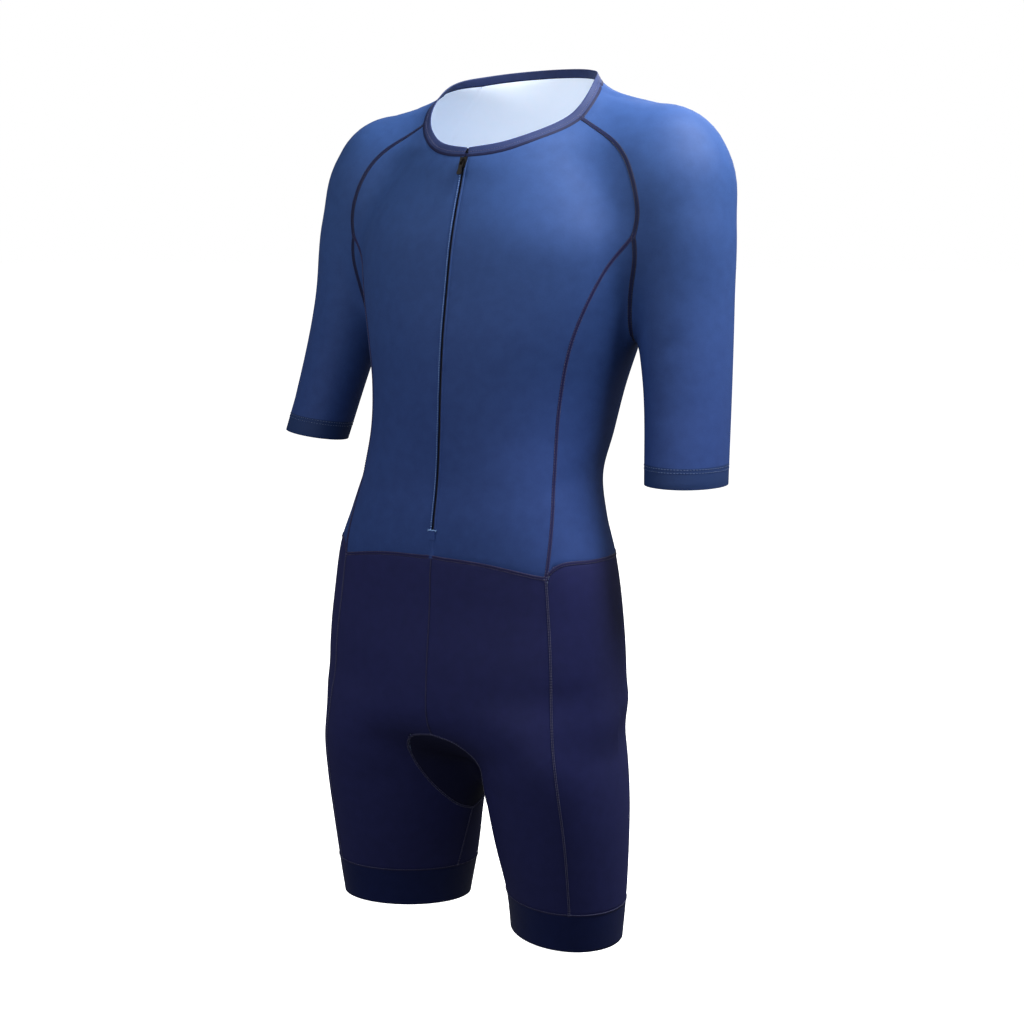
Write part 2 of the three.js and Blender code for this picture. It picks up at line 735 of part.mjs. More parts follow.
// The body narrows downwards; the bridge is a half ring over its middle.
function sliderGeometry() {
  const { width, length, thick, lift } = SLIDER;
  const body = new THREE.Shape();
  body.moveTo(-width / 2, length / 2);
  body.lineTo(-width / 2, 0);
  body.lineTo(-width * 0.38, -length / 2);
  body.lineTo(width * 0.38, -length / 2);
  body.lineTo(width / 2, 0);
  body.lineTo(width / 2, length / 2);
  body.lineTo(width * 0.12, length * 0.42);
  body.lineTo(-width * 0.12, length * 0.42);
  body.closePath();
  const bridge = new THREE.Shape();
  bridge.moveTo(BRIDGE.outer, -0.4);
  bridge.absarc(0, 0, BRIDGE.outer, 0, Math.PI, false);
  bridge.lineTo(-BRIDGE.outer, -0.4);
  bridge.lineTo(-BRIDGE.inner, -0.4);
  bridge.absarc(0, 0, BRIDGE.inner, Math.PI, 0, true);
  bridge.lineTo(BRIDGE.inner, -0.4);
  bridge.closePath();
  const top = add(sliderFoot, OUT, lift + thick);
  const start = add(top, ACROSS, -BRIDGE.width / 2);
  return joinedSolids(
    cutOut(body, thick, add(sliderFoot, OUT, lift), ACROSS, ALONG, OUT),
    cutOut(bridge, BRIDGE.width, start, ALONG, OUT, ACROSS),
  );
}

// The pull hangs from a bar under the bridge, which passes through its eye.
const pullAxis = add(sliderFoot, OUT, SLIDER.lift + SLIDER.thick + PULL.rise);
function pullGeometry() {
  const { length, width, thick, eyeWidth, eyeEnd } = PULL;
  const plate = new THREE.Shape();
  plate.moveTo(width / 2, thick / 2);
  plate.lineTo(-width / 2, thick / 2);
  plate.lineTo(-width / 2, -eyeEnd - 1);
  plate.lineTo(-width * 0.4, -eyeEnd - 3);
  plate.lineTo(-width * 0.55, -length + 1.5);
  plate.quadraticCurveTo(-width * 0.55, -length, -width * 0.2, -length);
  plate.lineTo(width * 0.2, -length);
  plate.quadraticCurveTo(width * 0.55, -length, width * 0.55, -length + 1.5);
  plate.lineTo(width * 0.4, -eyeEnd - 3);
  plate.lineTo(width / 2, -eyeEnd - 1);
  plate.closePath();
  const eye = new THREE.Path();
  eye.moveTo(-eyeWidth / 2, -thick / 2);
  eye.lineTo(-eyeWidth / 2, -eyeEnd);
  eye.lineTo(eyeWidth / 2, -eyeEnd);
  eye.lineTo(eyeWidth / 2, -thick / 2);
  eye.closePath();
  plate.holes.push(eye);
  return cutOut(plate, thick, add(pullAxis, OUT, -thick / 2), ACROSS, ALONG, OUT);
}

const wasm = await Module();
wasm.setup();

// Two solids made into one.
function joinedSolids(...geometries) {
  const solids = geometries.map((geometry) => {
    const welded = mergeVertices(geometry.deleteAttribute("uv").deleteAttribute("normal"), 1e-4);
    return new wasm.Manifold(
      new wasm.Mesh({
        numProp: 3,
        vertProperties: new Float32Array(welded.getAttribute("position").array),
        triVerts: new Uint32Array(welded.getIndex().array),
      }),
    );
  });
  const mesh = wasm.Manifold.union(solids).getMesh();
  const geometry = new THREE.BufferGeometry();
  geometry.setAttribute("position", new THREE.BufferAttribute(mesh.vertProperties, 3));
  geometry.setIndex(new THREE.BufferAttribute(mesh.triVerts, 1));
  geometry.computeVertexNormals();
  return geometry;
}

const cloth = (color) => new THREE.MeshStandardMaterial({ color, roughness: 0.75 });
const UPPER = cloth(0x2f4a7d);
const SHORTS = cloth(0x23284a);
const BAND = cloth(0x12142a);
const TRIM = cloth(0x1d2c58);
const BLACK = new THREE.MeshStandardMaterial({ color: 0x15151a, roughness: 0.5 });
const METAL = new THREE.MeshStandardMaterial({ color: 0x2b2a28, roughness: 0.35, metalness: 0.8 });

const suit = new THREE.Group();
suit.name = "triathlon_suit";
function place(name, geometry, material) {
  const mesh = new THREE.Mesh(geometry, material);
  mesh.name = name;
  suit.add(mesh);
}

place("front_left", wall(grids.front, WALL), UPPER);
place("front_right", wall(toRight(grids.front), WALL), UPPER);
place("back", wall(backGrid, WALL), UPPER);
place("sleeve_left", wall(sleeveLeft, WALL, { closed: true }), UPPER);
place("sleeve_right", wall(sleeveRight, WALL, { closed: true }), UPPER);
place("neck_binding", wall(stripAbove(neckline, BINDING.width, 2), BINDING.thick, { lift: 0.3 }), TRIM);
place("shorts_front_left", wall(grids.legFront, WALL), SHORTS);
place("shorts_front_right", wall(toRight(grids.legFront), WALL), SHORTS);
place("shorts_back_left", wall(grids.legBack, WALL), SHORTS);
place("shorts_back_right", wall(toRight(grids.legBack), WALL), SHORTS);
place("crotch_gusset", wall(gussetGrid(), WALL, { gap: 0.7 }), SHORTS);
place("leg_band_left", wall(band, WALL, { closed: true }), BAND);
place("leg_band_right", wall(toRight(band), WALL, { closed: true }), BAND);
place("zip_tape", wall(tape, TAPE.thick, { lift: -WALL - TAPE.behind }), BLACK);
place("zip_coil", wall(coil, COIL.thick, { lift: 0.3 }), BLACK);
place("zip_stop", wall(stop, STOP.thick, { lift: STOP.thick + 0.3 }), TRIM);
place("zip_slider", sliderGeometry(), METAL);
place("zip_pull", pullGeometry(), METAL);

export default suit;
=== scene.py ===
# %% [markdown]
# # A triathlon suit, filled out as if worn
# The suit is one hollow skin of stretch knit: raglan sleeves, a full front zip, fitted shorts
# and a broad elastic band at each thigh. The packed model gives each cut piece as a plain wall
# of facets. This script turns every wall into a thin, smooth sheet of cloth on the same form,
# then adds what a sewer adds: seams, stitches, a folded neck binding and the zip.
# All the shapes are worked out in millimetres and handed to Blender in metres.

import json
import math

import bmesh
import bpy
import numpy as np
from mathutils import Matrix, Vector
from mathutils.kdtree import KDTree

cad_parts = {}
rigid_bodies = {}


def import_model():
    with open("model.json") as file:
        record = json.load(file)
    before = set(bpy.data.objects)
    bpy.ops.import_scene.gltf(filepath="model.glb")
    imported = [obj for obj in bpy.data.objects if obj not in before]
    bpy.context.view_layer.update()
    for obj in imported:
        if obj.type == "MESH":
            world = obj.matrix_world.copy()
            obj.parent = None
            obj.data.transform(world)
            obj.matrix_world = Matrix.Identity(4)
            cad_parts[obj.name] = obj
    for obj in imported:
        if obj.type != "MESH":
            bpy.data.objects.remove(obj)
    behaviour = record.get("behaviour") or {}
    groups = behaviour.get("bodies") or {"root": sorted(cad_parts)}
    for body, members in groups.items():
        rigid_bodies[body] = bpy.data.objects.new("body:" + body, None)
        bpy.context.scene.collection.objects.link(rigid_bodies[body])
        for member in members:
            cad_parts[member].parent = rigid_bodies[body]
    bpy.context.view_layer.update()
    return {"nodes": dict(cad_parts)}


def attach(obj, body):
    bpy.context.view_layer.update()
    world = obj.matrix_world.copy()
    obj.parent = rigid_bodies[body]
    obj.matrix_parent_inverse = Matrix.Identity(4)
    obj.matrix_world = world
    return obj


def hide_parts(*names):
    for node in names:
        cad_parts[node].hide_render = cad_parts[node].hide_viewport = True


for left_over in list(bpy.data.objects):
    bpy.data.objects.remove(left_over)
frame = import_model()
MM = 0.001  # one millimetre in Blender's metres
print("nodes in the frame:", sorted(frame["nodes"]))

# %% [markdown]
# ## The camera
# It goes in first, because it decides what has to look right. The picture was taken with a
# moderate lens from the wearer's left, a little above the waist.

# %% The camera at the photograph's angle
AZIMUTH, ELEVATION = math.radians(29), math.radians(11)
AIM = Vector((0, 0, -0.44))
LENS = dict(length=50.1, film=36, distance=1.5)
level = math.cos(ELEVATION)
towards = Vector((math.sin(AZIMUTH) * level, -math.cos(AZIMUTH) * level, math.sin(ELEVATION)))
camera = bpy.data.objects.new("camera", bpy.data.cameras.new("camera"))
camera.data.lens, camera.data.sensor_width = LENS["length"], LENS["film"]
camera.rotation_mode = "QUATERNION"
camera.location = AIM + towards * LENS["distance"]
camera.rotation_quaternion = (-towards).to_track_quat("-Z", "Y")
bpy.context.scene.collection.objects.link(camera)
bpy.context.scene.camera = camera
print("camera at", [round(c, 3) for c in camera.location])

# %% [markdown]
# ## The figure under the cloth
# Close-fitting cloth takes its shape from what fills it, so the shape is described once, as a
# stack of rings for the torso, neck, shoulders, arms and legs. Each table row is one ring. A
# smooth curve runs between the rows, and where two forms meet they melt together. Sculpting
# or a cloth simulation would also give a worn shape, but rings keep every panel exactly on
# the same form as the solid that it stands for.

# %% The rings
TORSO = [
    dict(z=-40, half=116, front=-64, back=88, widest=18, square=1.5),
    dict(z=-80, half=138, front=-89, back=102, widest=16, square=1.6),
    dict(z=-120, half=152, front=-106, back=108, widest=10, square=1.9),
    dict(z=-160, half=158, front=-119, back=109, widest=4, square=2.2),
    dict(z=-205, half=154, front=-128, back=104, widest=-4, square=2.2),
    dict(z=-250, half=145, front=-136, back=95, widest=-15, square=2.1),
    dict(z=-300, half=134, front=-141, back=79, widest=-30, square=2),
    dict(z=-346, half=128, front=-144, back=60, widest=-43, square=2.1),
    dict(z=-385, half=125, front=-148, back=42, widest=-60, square=2.4),
    dict(z=-425, half=134, front=-156, back=36, widest=-69, square=2.5),
    dict(z=-461, half=146, front=-161, back=38, widest=-75, square=2.5),
    dict(z=-508, half=154, front=-164, back=44, widest=-77, square=2.5),
    dict(z=-571, half=160, front=-171, back=46, widest=-78, square=2.5),
    dict(z=-620, half=160, front=-172, back=40, widest=-76, square=2.4),
    dict(z=-680, half=152, front=-160, back=20, widest=-72, square=2.2),
]
NECK = [
    dict(z=-90, half=90, front=-78, back=92, widest=10),
    dict(z=-45, half=82, front=-54, back=89, widest=12),
    dict(z=0, half=76, front=-38, back=86, widest=16),
    dict(z=60, half=70, front=-30, back=80, widest=18),
]
SHOULDER = [
    dict(x=0, y=33, z=-70, fore=52, rise=54),
    dict(x=60, y=33, z=-71, fore=50, rise=54),
    dict(x=110, y=32, z=-77, fore=49, rise=54),
    dict(x=150, y=28, z=-91, fore=47, rise=52),
]
ARM = [
    dict(z=-70, x=164, y=19, half=54, front=54, back=54, turn=0),
    dict(z=-110, x=172, y=15, half=53, front=56, back=56, turn=-8),
    dict(z=-150, x=180, y=8, half=52, front=56, back=56, turn=-20),
    dict(z=-220, x=191, y=-5, half=43, front=51, back=51, turn=-30),
    dict(z=-300, x=204, y=-23, half=37, front=44, back=44, turn=-35),
    dict(z=-385, x=214, y=-46, half=35, front=42, back=42, turn=-32),
    dict(z=-440, x=220, y=-61, half=34, front=41, back=41, turn=-32),
]
LEG = [
    dict(z=-600, x=80, y=-72, half=70, front=96, back=100, turn=10),
    dict(z=-660, x=86, y=-70, half=74, front=98, back=100, turn=16),
    dict(z=-710, x=90, y=-66, half=73, front=93, back=95, turn=20),
    dict(z=-760, x=93, y=-62, half=69, front=87, back=88, turn=22),
    dict(z=-820, x=96, y=-56, half=62, front=81, back=80, turn=25),
    dict(z=-886, x=97, y=-57, half=57, front=71, back=68, turn=25),
    dict(z=-960, x=99, y=-58, half=54, front=66, back=65, turn=25),
]
# Where each form starts to close past its last ring, and over what height.
CAPS = dict(
    torso_top=dict(start=-70, height=62),
    torso_bottom=dict(start=-600, height=70),
    neck=dict(start=-90, height=60),
    shoulder=dict(start=130, height=62),
    arm_top=dict(start=-112, height=66),
    arm_bottom=dict(start=-450, height=40),
    leg=dict(start=-650, height=60),
)
BLEND = dict(neck=30, shoulder=44, arm=54, underarm=22, leg=44, legs=64)
UNDERARM = dict(start=-120, run=100)  # where the sleeve's blend narrows
SWING = dict(start=-190, run=195, most=1.3, out=10)  # the right sleeve hangs further out
print("rings:", len(TORSO) + len(NECK) + len(SHOULDER) + len(ARM) + len(LEG))


# %% [markdown]
# ### From rings to a form
# A form between two rings needs a curve, not a straight line, or the cloth would show a kink
# at each ring. So every column of a table gets a smooth curve through its rows, and each form
# then tells how far outside it any point lies. Such a distance is easy to blend: the smaller
# of two distances joins two forms, and a soft minimum rounds the hollow between them.

# %% Reading a table smoothly
def reader(rows, key):
    """A smooth curve through a table's rows, held at its ends."""
    names = [name for name in rows[0] if name != key]
    at = np.array([row[key] for row in rows], float)
    values = np.array([[row[name] for name in names] for row in rows], float)
    last = len(at) - 1
    before, after = np.maximum(np.arange(last + 1) - 1, 0), np.minimum(np.arange(last + 1) + 1, last)
    slopes = (values[after] - values[before]) / (at[after] - at[before])[:, None]
    way = 1 if at[1] > at[0] else -1

    def read(where):
        i = np.clip(np.searchsorted(at * way, where * way, side="left") - 1, 0, last - 1)
        span = at[i + 1] - at[i]
        t = np.clip((where - at[i]) / span, 0, 1)
        starts, ends = 2 * t**3 - 3 * t**2 + 1, 3 * t**2 - 2 * t**3
        leaves, comes = (t**3 - 2 * t**2 + t) * span, (t**3 - t**2) * span
        found = values[i] * starts[:, None] + values[i + 1] * ends[:, None]
        found += slopes[i] * leaves[:, None] + slopes[i + 1] * comes[:, None]
        return dict(zip(names, found.T))

    return read


torso_at, neck_at, leg_at = reader(TORSO, "z"), reader(NECK, "z"), reader(LEG, "z")
arm_at, shoulder_at = reader(ARM, "z"), reader(SHOULDER, "x")
print("waist half width:", torso_at(np.array([-385.0]))["half"])


# %% How far a point lies outside each form
NEAR_AXIS = 1e-6  # a share of the radius so small that the point counts as on the axis


def outside_ring(x, y, half, front, back, cap, square=2.0):
    """Outside is positive. cap rounds a form off above or below its last ring."""
    power = np.where(y < 0, square, 2.0)
    across = np.abs(x / half) ** power
    along = np.abs(np.where(y < 0, y / front, y / back)) ** power
    share = (across + along + cap**power) ** (1 / power)
    reach = np.sqrt(x * x + y * y + (cap * half) ** 2)
    return np.where(share < NEAR_AXIS, -half, reach * (1 - 1 / np.maximum(share, NEAR_AXIS)))


def limb(p, ring, cap):
    turn = np.radians(ring["turn"])
    dx, dy = p[:, 0] - ring["x"], p[:, 1] - ring["y"]
    across = dx * np.cos(turn) + dy * np.sin(turn)
    along = dy * np.cos(turn) - dx * np.sin(turn)
    return outside_ring(across, along, ring["half"], ring["front"], ring["back"], cap)


def over(z, cap):
    """How far a point is into the cap that closes a form upwards or outwards."""
    return np.maximum(0, (z - CAPS[cap]["start"]) / CAPS[cap]["height"])


def under(z, cap):
    return np.maximum(0, (CAPS[cap]["start"] - z) / CAPS[cap]["height"])


def upright(p, ring, cap, square=2.0):
    """The torso and the neck, whose rings have a front and a back of their own."""
    y, middle = p[:, 1] - ring["widest"], ring["widest"]
    front, back = middle - ring["front"], ring["back"] - middle
    return outside_ring(p[:, 0], y, ring["half"], front, back, cap, square)


# %% The five forms
def torso(p):
    ring, z = torso_at(p[:, 2]), p[:, 2]
    return upright(p, ring, over(z, "torso_top") + under(z, "torso_bottom"), ring["square"])


def neck(p):
    return upright(p, neck_at(p[:, 2]), under(p[:, 2], "neck"))


def shoulder(p):
    out = np.abs(p[:, 0])
    ring = shoulder_at(out)
    dy, dz = p[:, 1] - ring["y"], p[:, 2] - ring["z"]
    return outside_ring(dy, dz, ring["fore"], ring["rise"], ring["rise"], over(out, "shoulder"))


def arm(p):
    z = p[:, 2]
    return limb(p, arm_at(z), over(z, "arm_top") + under(z, "arm_bottom"))


def leg(p):
    return limb(p, leg_at(p[:, 2]), over(p[:, 2], "leg"))


print("navel, outside the torso:", torso(np.array([[0, -200.0, -400]])))


# %% The whole figure
def melt(a, b, distance):
    """A soft minimum, which rounds the hollow where two forms meet."""
    overlap = np.maximum(0, distance - np.abs(a - b)) / distance
    return np.minimum(a, b) - overlap**2 * distance / 4


def figure(p):
    """How far points lie outside the suit's outer face. The right side is the left, mirrored."""
    mirrored = p * [-1, 1, 1]
    down = np.clip((SWING["start"] - p[:, 2]) / SWING["run"], 0, SWING["most"])
    swung = mirrored - np.stack([SWING["out"] * down**2, 0 * down, 0 * down], 1)
    low = np.clip((UNDERARM["start"] - p[:, 2]) / UNDERARM["run"], 0, 1)
    arm_blend = BLEND["arm"] + (BLEND["underarm"] - BLEND["arm"]) * low
    found = melt(torso(p), neck(p), BLEND["neck"])
    found = melt(found, shoulder(p), BLEND["shoulder"])
    found = melt(found, np.minimum(arm(p), arm(swung)), arm_blend)
    return melt(found, melt(leg(p), leg(mirrored), BLEND["legs"]), BLEND["leg"])


print("chest depth below zero inside:", figure(np.array([[0.0, 0.0, -200.0]])))

# %% Settling points on the figure
PROBE = 0.4  # how far to each side the distance is felt out, in mm
LEAST_SLOPE = 0.2  # keeps a step short where two forms meet


def slope(p):
    """Which way is outwards, and how steeply the distance grows."""
    steps = np.eye(3) * PROBE
    return np.stack([(figure(p + s) - figure(p - s)) / (2 * PROBE) for s in steps], 1)


def outward(p):
    g = slope(p)
    return g / np.linalg.norm(g, axis=1, keepdims=True)


def settle(p, rounds=4):
    """Moves points straight onto the figure."""
    for _ in range(rounds):
        g = slope(p)
        p = p - g * (figure(p) / np.maximum((g**2).sum(1), LEAST_SLOPE))[:, None]
    return p


print("a settled point:", settle(np.array([[0.0, -200.0, -200.0]])))

# %% [markdown]
# ## From a faceted wall to a sheet
# Each solid is a closed wall with an outer and an inner face. Its outer face alone has the
# right edges, so it is copied, cut finer and settled onto the figure. A second, inner face
# for the pale inside of the knit comes from a Solidify modifier with its own material.


# %% The outer skin of a solid
HALF_WALL = -0.75  # between the outer face, on the figure, and the inner one
WELD = 0.03  # points this close are one point
SMALL_HOLE = 8  # a hole with no more sides than this is a slip of the selection


def points_of(mesh):
    return np.array([v.co for v in mesh.verts])


def outer_skin(node):
    """The outside faces of a cloth wall as an editable mesh, in millimetres."""
    skin = bmesh.new()
    skin.from_mesh(frame["nodes"][node].data)
    bmesh.ops.scale(skin, vec=(1 / MM, 1 / MM, 1 / MM), verts=skin.verts)
    bmesh.ops.remove_doubles(skin, verts=skin.verts, dist=WELD)
    skin.normal_update()
    points = points_of(skin)
    height = figure(points)
    facing = (np.array([v.normal for v in skin.verts]) * outward(points)).sum(1)
    inner = (height < HALF_WALL) | ((height < HALF_WALL / 2) & (facing < 0))
    bmesh.ops.delete(skin, geom=[v for v, gone in zip(skin.verts, inner) if gone], context="VERTS")
    bmesh.ops.holes_fill(skin, edges=skin.edges, sides=SMALL_HOLE)
    bmesh.ops.triangulate(skin, faces=skin.faces)
    return skin


CLOTH = sorted(name for name in frame["nodes"] if not name.startswith("zip"))
skins = {name: outer_skin(name) for name in CLOTH}
print({name: len(skin.faces) for name, skin in skins.items()})


# %% The free edges of a skin
def free_loops(skin):
    """The vertices round each free edge, in order."""
    free = dict.fromkeys(e for e in skin.edges if len(e.link_faces) == 1)
    loops = []
    while free:
        edge = next(iter(free))
        del free[edge]
        loop = [edge.verts[0], edge.verts[1]]
        while following := [e for e in loop[-1].link_edges if e in free]:
            del free[following[0]]
            loop.append(following[0].other_vert(loop[-1]))
        loops.append(loop[:-1])
    return loops


def rims(skin):
    """The free edges of a skin, as closed loops of points."""
    return [np.array([v.co for v in loop + loop[:1]]) for loop in free_loops(skin)]


edges = {name: rims(skin) for name, skin in skins.items()}
print({name: [len(loop) for loop in loops] for name, loops in edges.items()})

# %% [markdown]
# ## Creases
# The suit fits so closely that it hardly folds. What shows is a few soft troughs where the
# cloth is pulled: under the arms, at the elbow end of the sleeves, over the hips and round
# the crotch. Each one is a short line with its own width and depth that dies out at its ends,
# so that no two sides are alike.

# %% Soft troughs and ridges
CREASES = [
    dict(start=(150, -70, -176), end=(122, -112, -236), wide=9, deep=-1.3),
    dict(start=(148, -48, -196), end=(136, -86, -262), wide=8, deep=-1.1),
    dict(start=(-148, -72, -172), end=(-118, -112, -222), wide=9, deep=-1.4),
    dict(start=(-150, -40, -190), end=(-138, -80, -250), wide=7, deep=-1.0),
    dict(start=(148, 60, -170), end=(110, 92, -226), wide=10, deep=-1.4),
    dict(start=(-146, 62, -176), end=(-112, 90, -240), wide=9, deep=-1.2),
    dict(start=(222, -22, -236), end=(190, -66, -262), wide=8, deep=-1.0),
    dict(start=(238, -26, -300), end=(206, -70, -322), wide=9, deep=-0.8),
    dict(start=(-222, -18, -246), end=(-196, -68, -270), wide=8, deep=-0.9),
    dict(start=(-244, -30, -326), end=(-214, -78, -338), wide=10, deep=-0.9),
    dict(start=(176, 10, -250), end=(178, -40, -292), wide=7, deep=-0.8),
    dict(start=(126, -66, -372), end=(104, -128, -392), wide=9, deep=-0.7),
    dict(start=(-126, -60, -380), end=(-100, -130, -402), wide=10, deep=-0.8),
    dict(start=(152, -50, -520), end=(140, -122, -548), wide=9, deep=-0.8),
    dict(start=(158, -60, -566), end=(132, -140, -582), wide=11, deep=-0.9),
    dict(start=(-156, -52, -540), end=(-132, -136, -566), wide=10, deep=-0.9),
    dict(start=(24, -158, -668), end=(96, -166, -640), wide=10, deep=-1.2),
    dict(start=(30, -150, -690), end=(110, -152, -684), wide=9, deep=-1.0),
    dict(start=(-22, -158, -670), end=(-88, -166, -634), wide=9, deep=-1.1),
    dict(start=(-34, -146, -696), end=(-112, -150, -698), wide=10, deep=-0.9),
    dict(start=(60, 34, -660), end=(120, 20, -688), wide=12, deep=-1.3),
    dict(start=(-56, 34, -664), end=(-122, 18, -700), wide=11, deep=-1.2),
    dict(start=(40, 46, -400), end=(104, 10, -420), wide=12, deep=-1.0),
    dict(start=(-34, 44, -408), end=(-106, 8, -398), wide=11, deep=-0.9),
]


DYING_OUT = 0.12  # how far into its half wave a crease starts and ends


def creases(p):
    """How far each point is raised, in millimetres."""
    raised = np.zeros(len(p))
    for crease in CREASES:
        start, run = np.array(crease["start"]), np.subtract(crease["end"], crease["start"])
        share = np.clip((p - start) @ run / (run @ run), 0, 1)
        away = np.linalg.norm(p - start - share[:, None] * run, axis=1)
        wave = np.sin(math.pi * (DYING_OUT + (1 - 2 * DYING_OUT) * share))
        raised += crease["deep"] * np.exp(-((away / crease["wide"]) ** 2)) * wave
    return raised


print("creases:", len(CREASES))

# %% [markdown]
# ## Materials
# A shader tree is easier to read as sums than as boxes and wires, so a small class wraps one
# socket and lets Python's own operators make the Math nodes. Everything here is procedural:
# a photograph of cloth would blur from near and would repeat, and a recipe does neither.


# %% Sums of signals
class Signal:
    """One number in a shader tree, which adds and multiplies like a Python number."""

    def __init__(self, nodes, socket):
        self.nodes, self.socket = nodes, socket

    def math(self, operation, *terms):
        slots = dict(zip(("Value", "Value_001"), terms))
        return self.nodes.node("Math", "Value", {"operation": operation}, **slots)

    def __add__(self, other):
        return self.math("ADD", self, other)

    def __sub__(self, other):
        return self.math("SUBTRACT", self, other)

    def __rsub__(self, other):
        return self.math("SUBTRACT", other, self)

    def __mul__(self, other):
        return self.math("MULTIPLY", self, other)

    __radd__, __rmul__ = __add__, __mul__

    def sine(self):
        return self.math("SINE", self)

    def below(self, edge, soft):
        """1 under the edge and 0 over it, with a soft step between."""
        smooth = {"interpolation_type": "SMOOTHSTEP"}
        ends = dict(From_Min=edge - soft, From_Max=edge + soft, To_Min=1, To_Max=0)
        return self.nodes.node("MapRange", "Result", smooth, Value=self, **ends)


# %% [markdown]
# ### Nodes and finishes
# Every node is added by one method. It sets the node's own options first, because they decide
# which sockets it has, and then gives each socket a number, a colour or a signal. A finish is
# a material with one Principled shader on top of that.


# %% Adding nodes
def socket_named(sockets, name):
    """Finds a socket by its identifier, and otherwise by its label."""
    found = [socket for socket in sockets if socket.identifier == name]
    return found[0] if found else sockets[name.replace("_", " ")]


class Nodes:
    """A shader tree."""

    def __init__(self, tree):
        self.tree = tree

    def feed(self, slot, value):
        """Links a signal to a socket, or sets the socket's own value."""
        if isinstance(value, Signal):
            self.tree.links.new(value.socket, slot)
        else:
            slot.default_value = value

    def node(self, kind, output, settings=None, **values):
        node = self.tree.nodes.new("ShaderNode" + kind)
        for name, value in (settings or {}).items():
            setattr(node, name, value)
        for name, value in values.items():
            self.feed(socket_named(node.inputs, name), value)
        return Signal(self, socket_named(node.outputs, output))


# %% A finish
class Finish(Nodes):
    """A material with one Principled shader."""

    def __init__(self, name, **constants):
        self.material = bpy.data.materials.new(name)
        self.material.use_nodes = True
        super().__init__(self.material.node_tree)
        self.shader = self.tree.nodes["Principled BSDF"]
        self.set(**constants)

    def set(self, **values):
        for name, value in values.items():
            self.feed(socket_named(self.shader.inputs, name), value)

    def place(self):
        return self.node("TexCoord", "Object")

    def noise(self, scale, detail=2.0):
        return self.node("TexNoise", "Fac", Vector=self.place(), Scale=scale, Detail=detail)

    def value(self, name):
        """A number that the mesh stores at each of its points."""
        return self.node("Attribute", "Fac", {"attribute_name": name})

    def mix(self, share, first, second):
        colours = dict(Factor_Float=share, A_Color=first, B_Color=second)
        return self.node("Mix", "Result_Color", {"data_type": "RGBA"}, **colours)

    def bump(self, height, strength, distance):
        raised = dict(Height=height, Strength=strength, Distance=distance)
        self.set(Normal=self.node("Bump", "Normal", **raised))


def paint(red, green, blue):
    """A colour as a paint chart gives it, 0 to 255, turned into linear light."""
    shares = [c / 255 for c in (red, green, blue)]
    linear = [c / 12.92 if c <= 0.04045 else ((c + 0.055) / 1.055) ** 2.4 for c in shares]
    return tuple(linear) + (1,)


def darker(colour, share):
    return tuple(c * share for c in colour[:3]) + (1,)


print("chart blue in linear light:", [round(c, 3) for c in paint(47, 74, 125)])

# %% [markdown]
# ### Knit
# The cloth is a fine warp knit: thin lengthwise ribs, a dull sheen and a little mottling where
# it is stretched. The ribs are far too small to model, so they are a bump in the material,
# while everything bigger is geometry. The colour of the upper half also carries painted light
# and shade: a lighter blue at the shoulders, where the light falls, and a darker one towards
# the waist.

# %% Dyes, painted light and shade, and where they change
# Texture coordinates are in metres, and the hem's own measure is in millimetres.
# A lit and a shaded copy of the upper blue: painted light at the shoulders, painted shade at the waist.
LIT_SHOULDER_BLUE = paint(40, 64, 114), paint(54, 85, 141)
SHADED_WAIST_BLUE = paint(35, 54, 105), paint(47, 72, 131)
BLACK = (0, 0, 0, 1)
# Painted shade: the height, in metres, where the lit blue gives way to the shaded one.
PAINTED_SHADE_FADE = dict(edge=-0.2, soft=0.17)
# The thin knit lets daylight through round the neck. That light is painted on: the pale inside
# glows a little there.
PAINTED_GLOW = dict(edge=-0.13, soft=0.07)
# The turned band at each sleeve's end, which looks darker because the cloth lies double.
HEM = dict(deep=20, soft=0.6, stitched=15.5, between=3.2, dark=0.58, share=0.85)
# How many radians of rib there are in a metre, and how the waves lie across each other.
RIB = dict(knit=5200.0, band=9000.0, tape=7000.0, slant=0.6, along=0.7)
MOTTLE = dict(broad=90.0, fine=900.0, mostly=0.6)
FELT = dict(grain=2600.0, ribs=0.5, strength=0.25, depth=0.0004)
print("upper dyes:", len(LIT_SHOULDER_BLUE + SHADED_WAIST_BLUE))


# %% A stretch knit
def knit(name, dark, light, rough=0.62, rib=RIB["knit"], painted_shade=False, hemmed=False, painted_glow=0.0):
    """A dull cloth between two close shades, with ribs and grain as a bump."""
    cloth = Finish(name, Roughness=rough, Specular_IOR_Level=0.14)
    cloth.set(Sheen_Weight=0.12, Sheen_Roughness=0.4, Sheen_Tint=light)
    x, y, z = (cloth.node("SeparateXYZ", axis, Vector=cloth.place()) for axis in "XYZ")
    ribs = ((x + y * RIB["slant"]) * rib).sine() * (z * rib * RIB["along"]).sine()
    broad, fine = cloth.noise(MOTTLE["broad"]), cloth.noise(MOTTLE["fine"])
    mottle = broad * MOTTLE["mostly"] + fine * (1 - MOTTLE["mostly"])
    colour = cloth.mix(mottle, dark, light)
    # Painted light and shade: lighter blue at the shoulders, darker blue towards the waist.
    if painted_shade:
        colour = cloth.mix(z.below(**PAINTED_SHADE_FADE), colour, cloth.mix(mottle, *SHADED_WAIST_BLUE))
    if hemmed:
        turned_up = cloth.value("hem").below(HEM["deep"], HEM["soft"])
        colour = cloth.mix(turned_up * HEM["share"], colour, darker(dark, HEM["dark"]))
    # Painted light: the pale inside glows a little near the neck, for light let through the thin knit.
    if painted_glow:
        near_neck = 1 - z.below(**PAINTED_GLOW)
        cloth.set(Emission_Color=cloth.mix(near_neck, BLACK, dark), Emission_Strength=painted_glow)
    cloth.set(Base_Color=colour)
    cloth.bump(ribs * FELT["ribs"] + cloth.noise(FELT["grain"]), FELT["strength"], FELT["depth"])
    return cloth


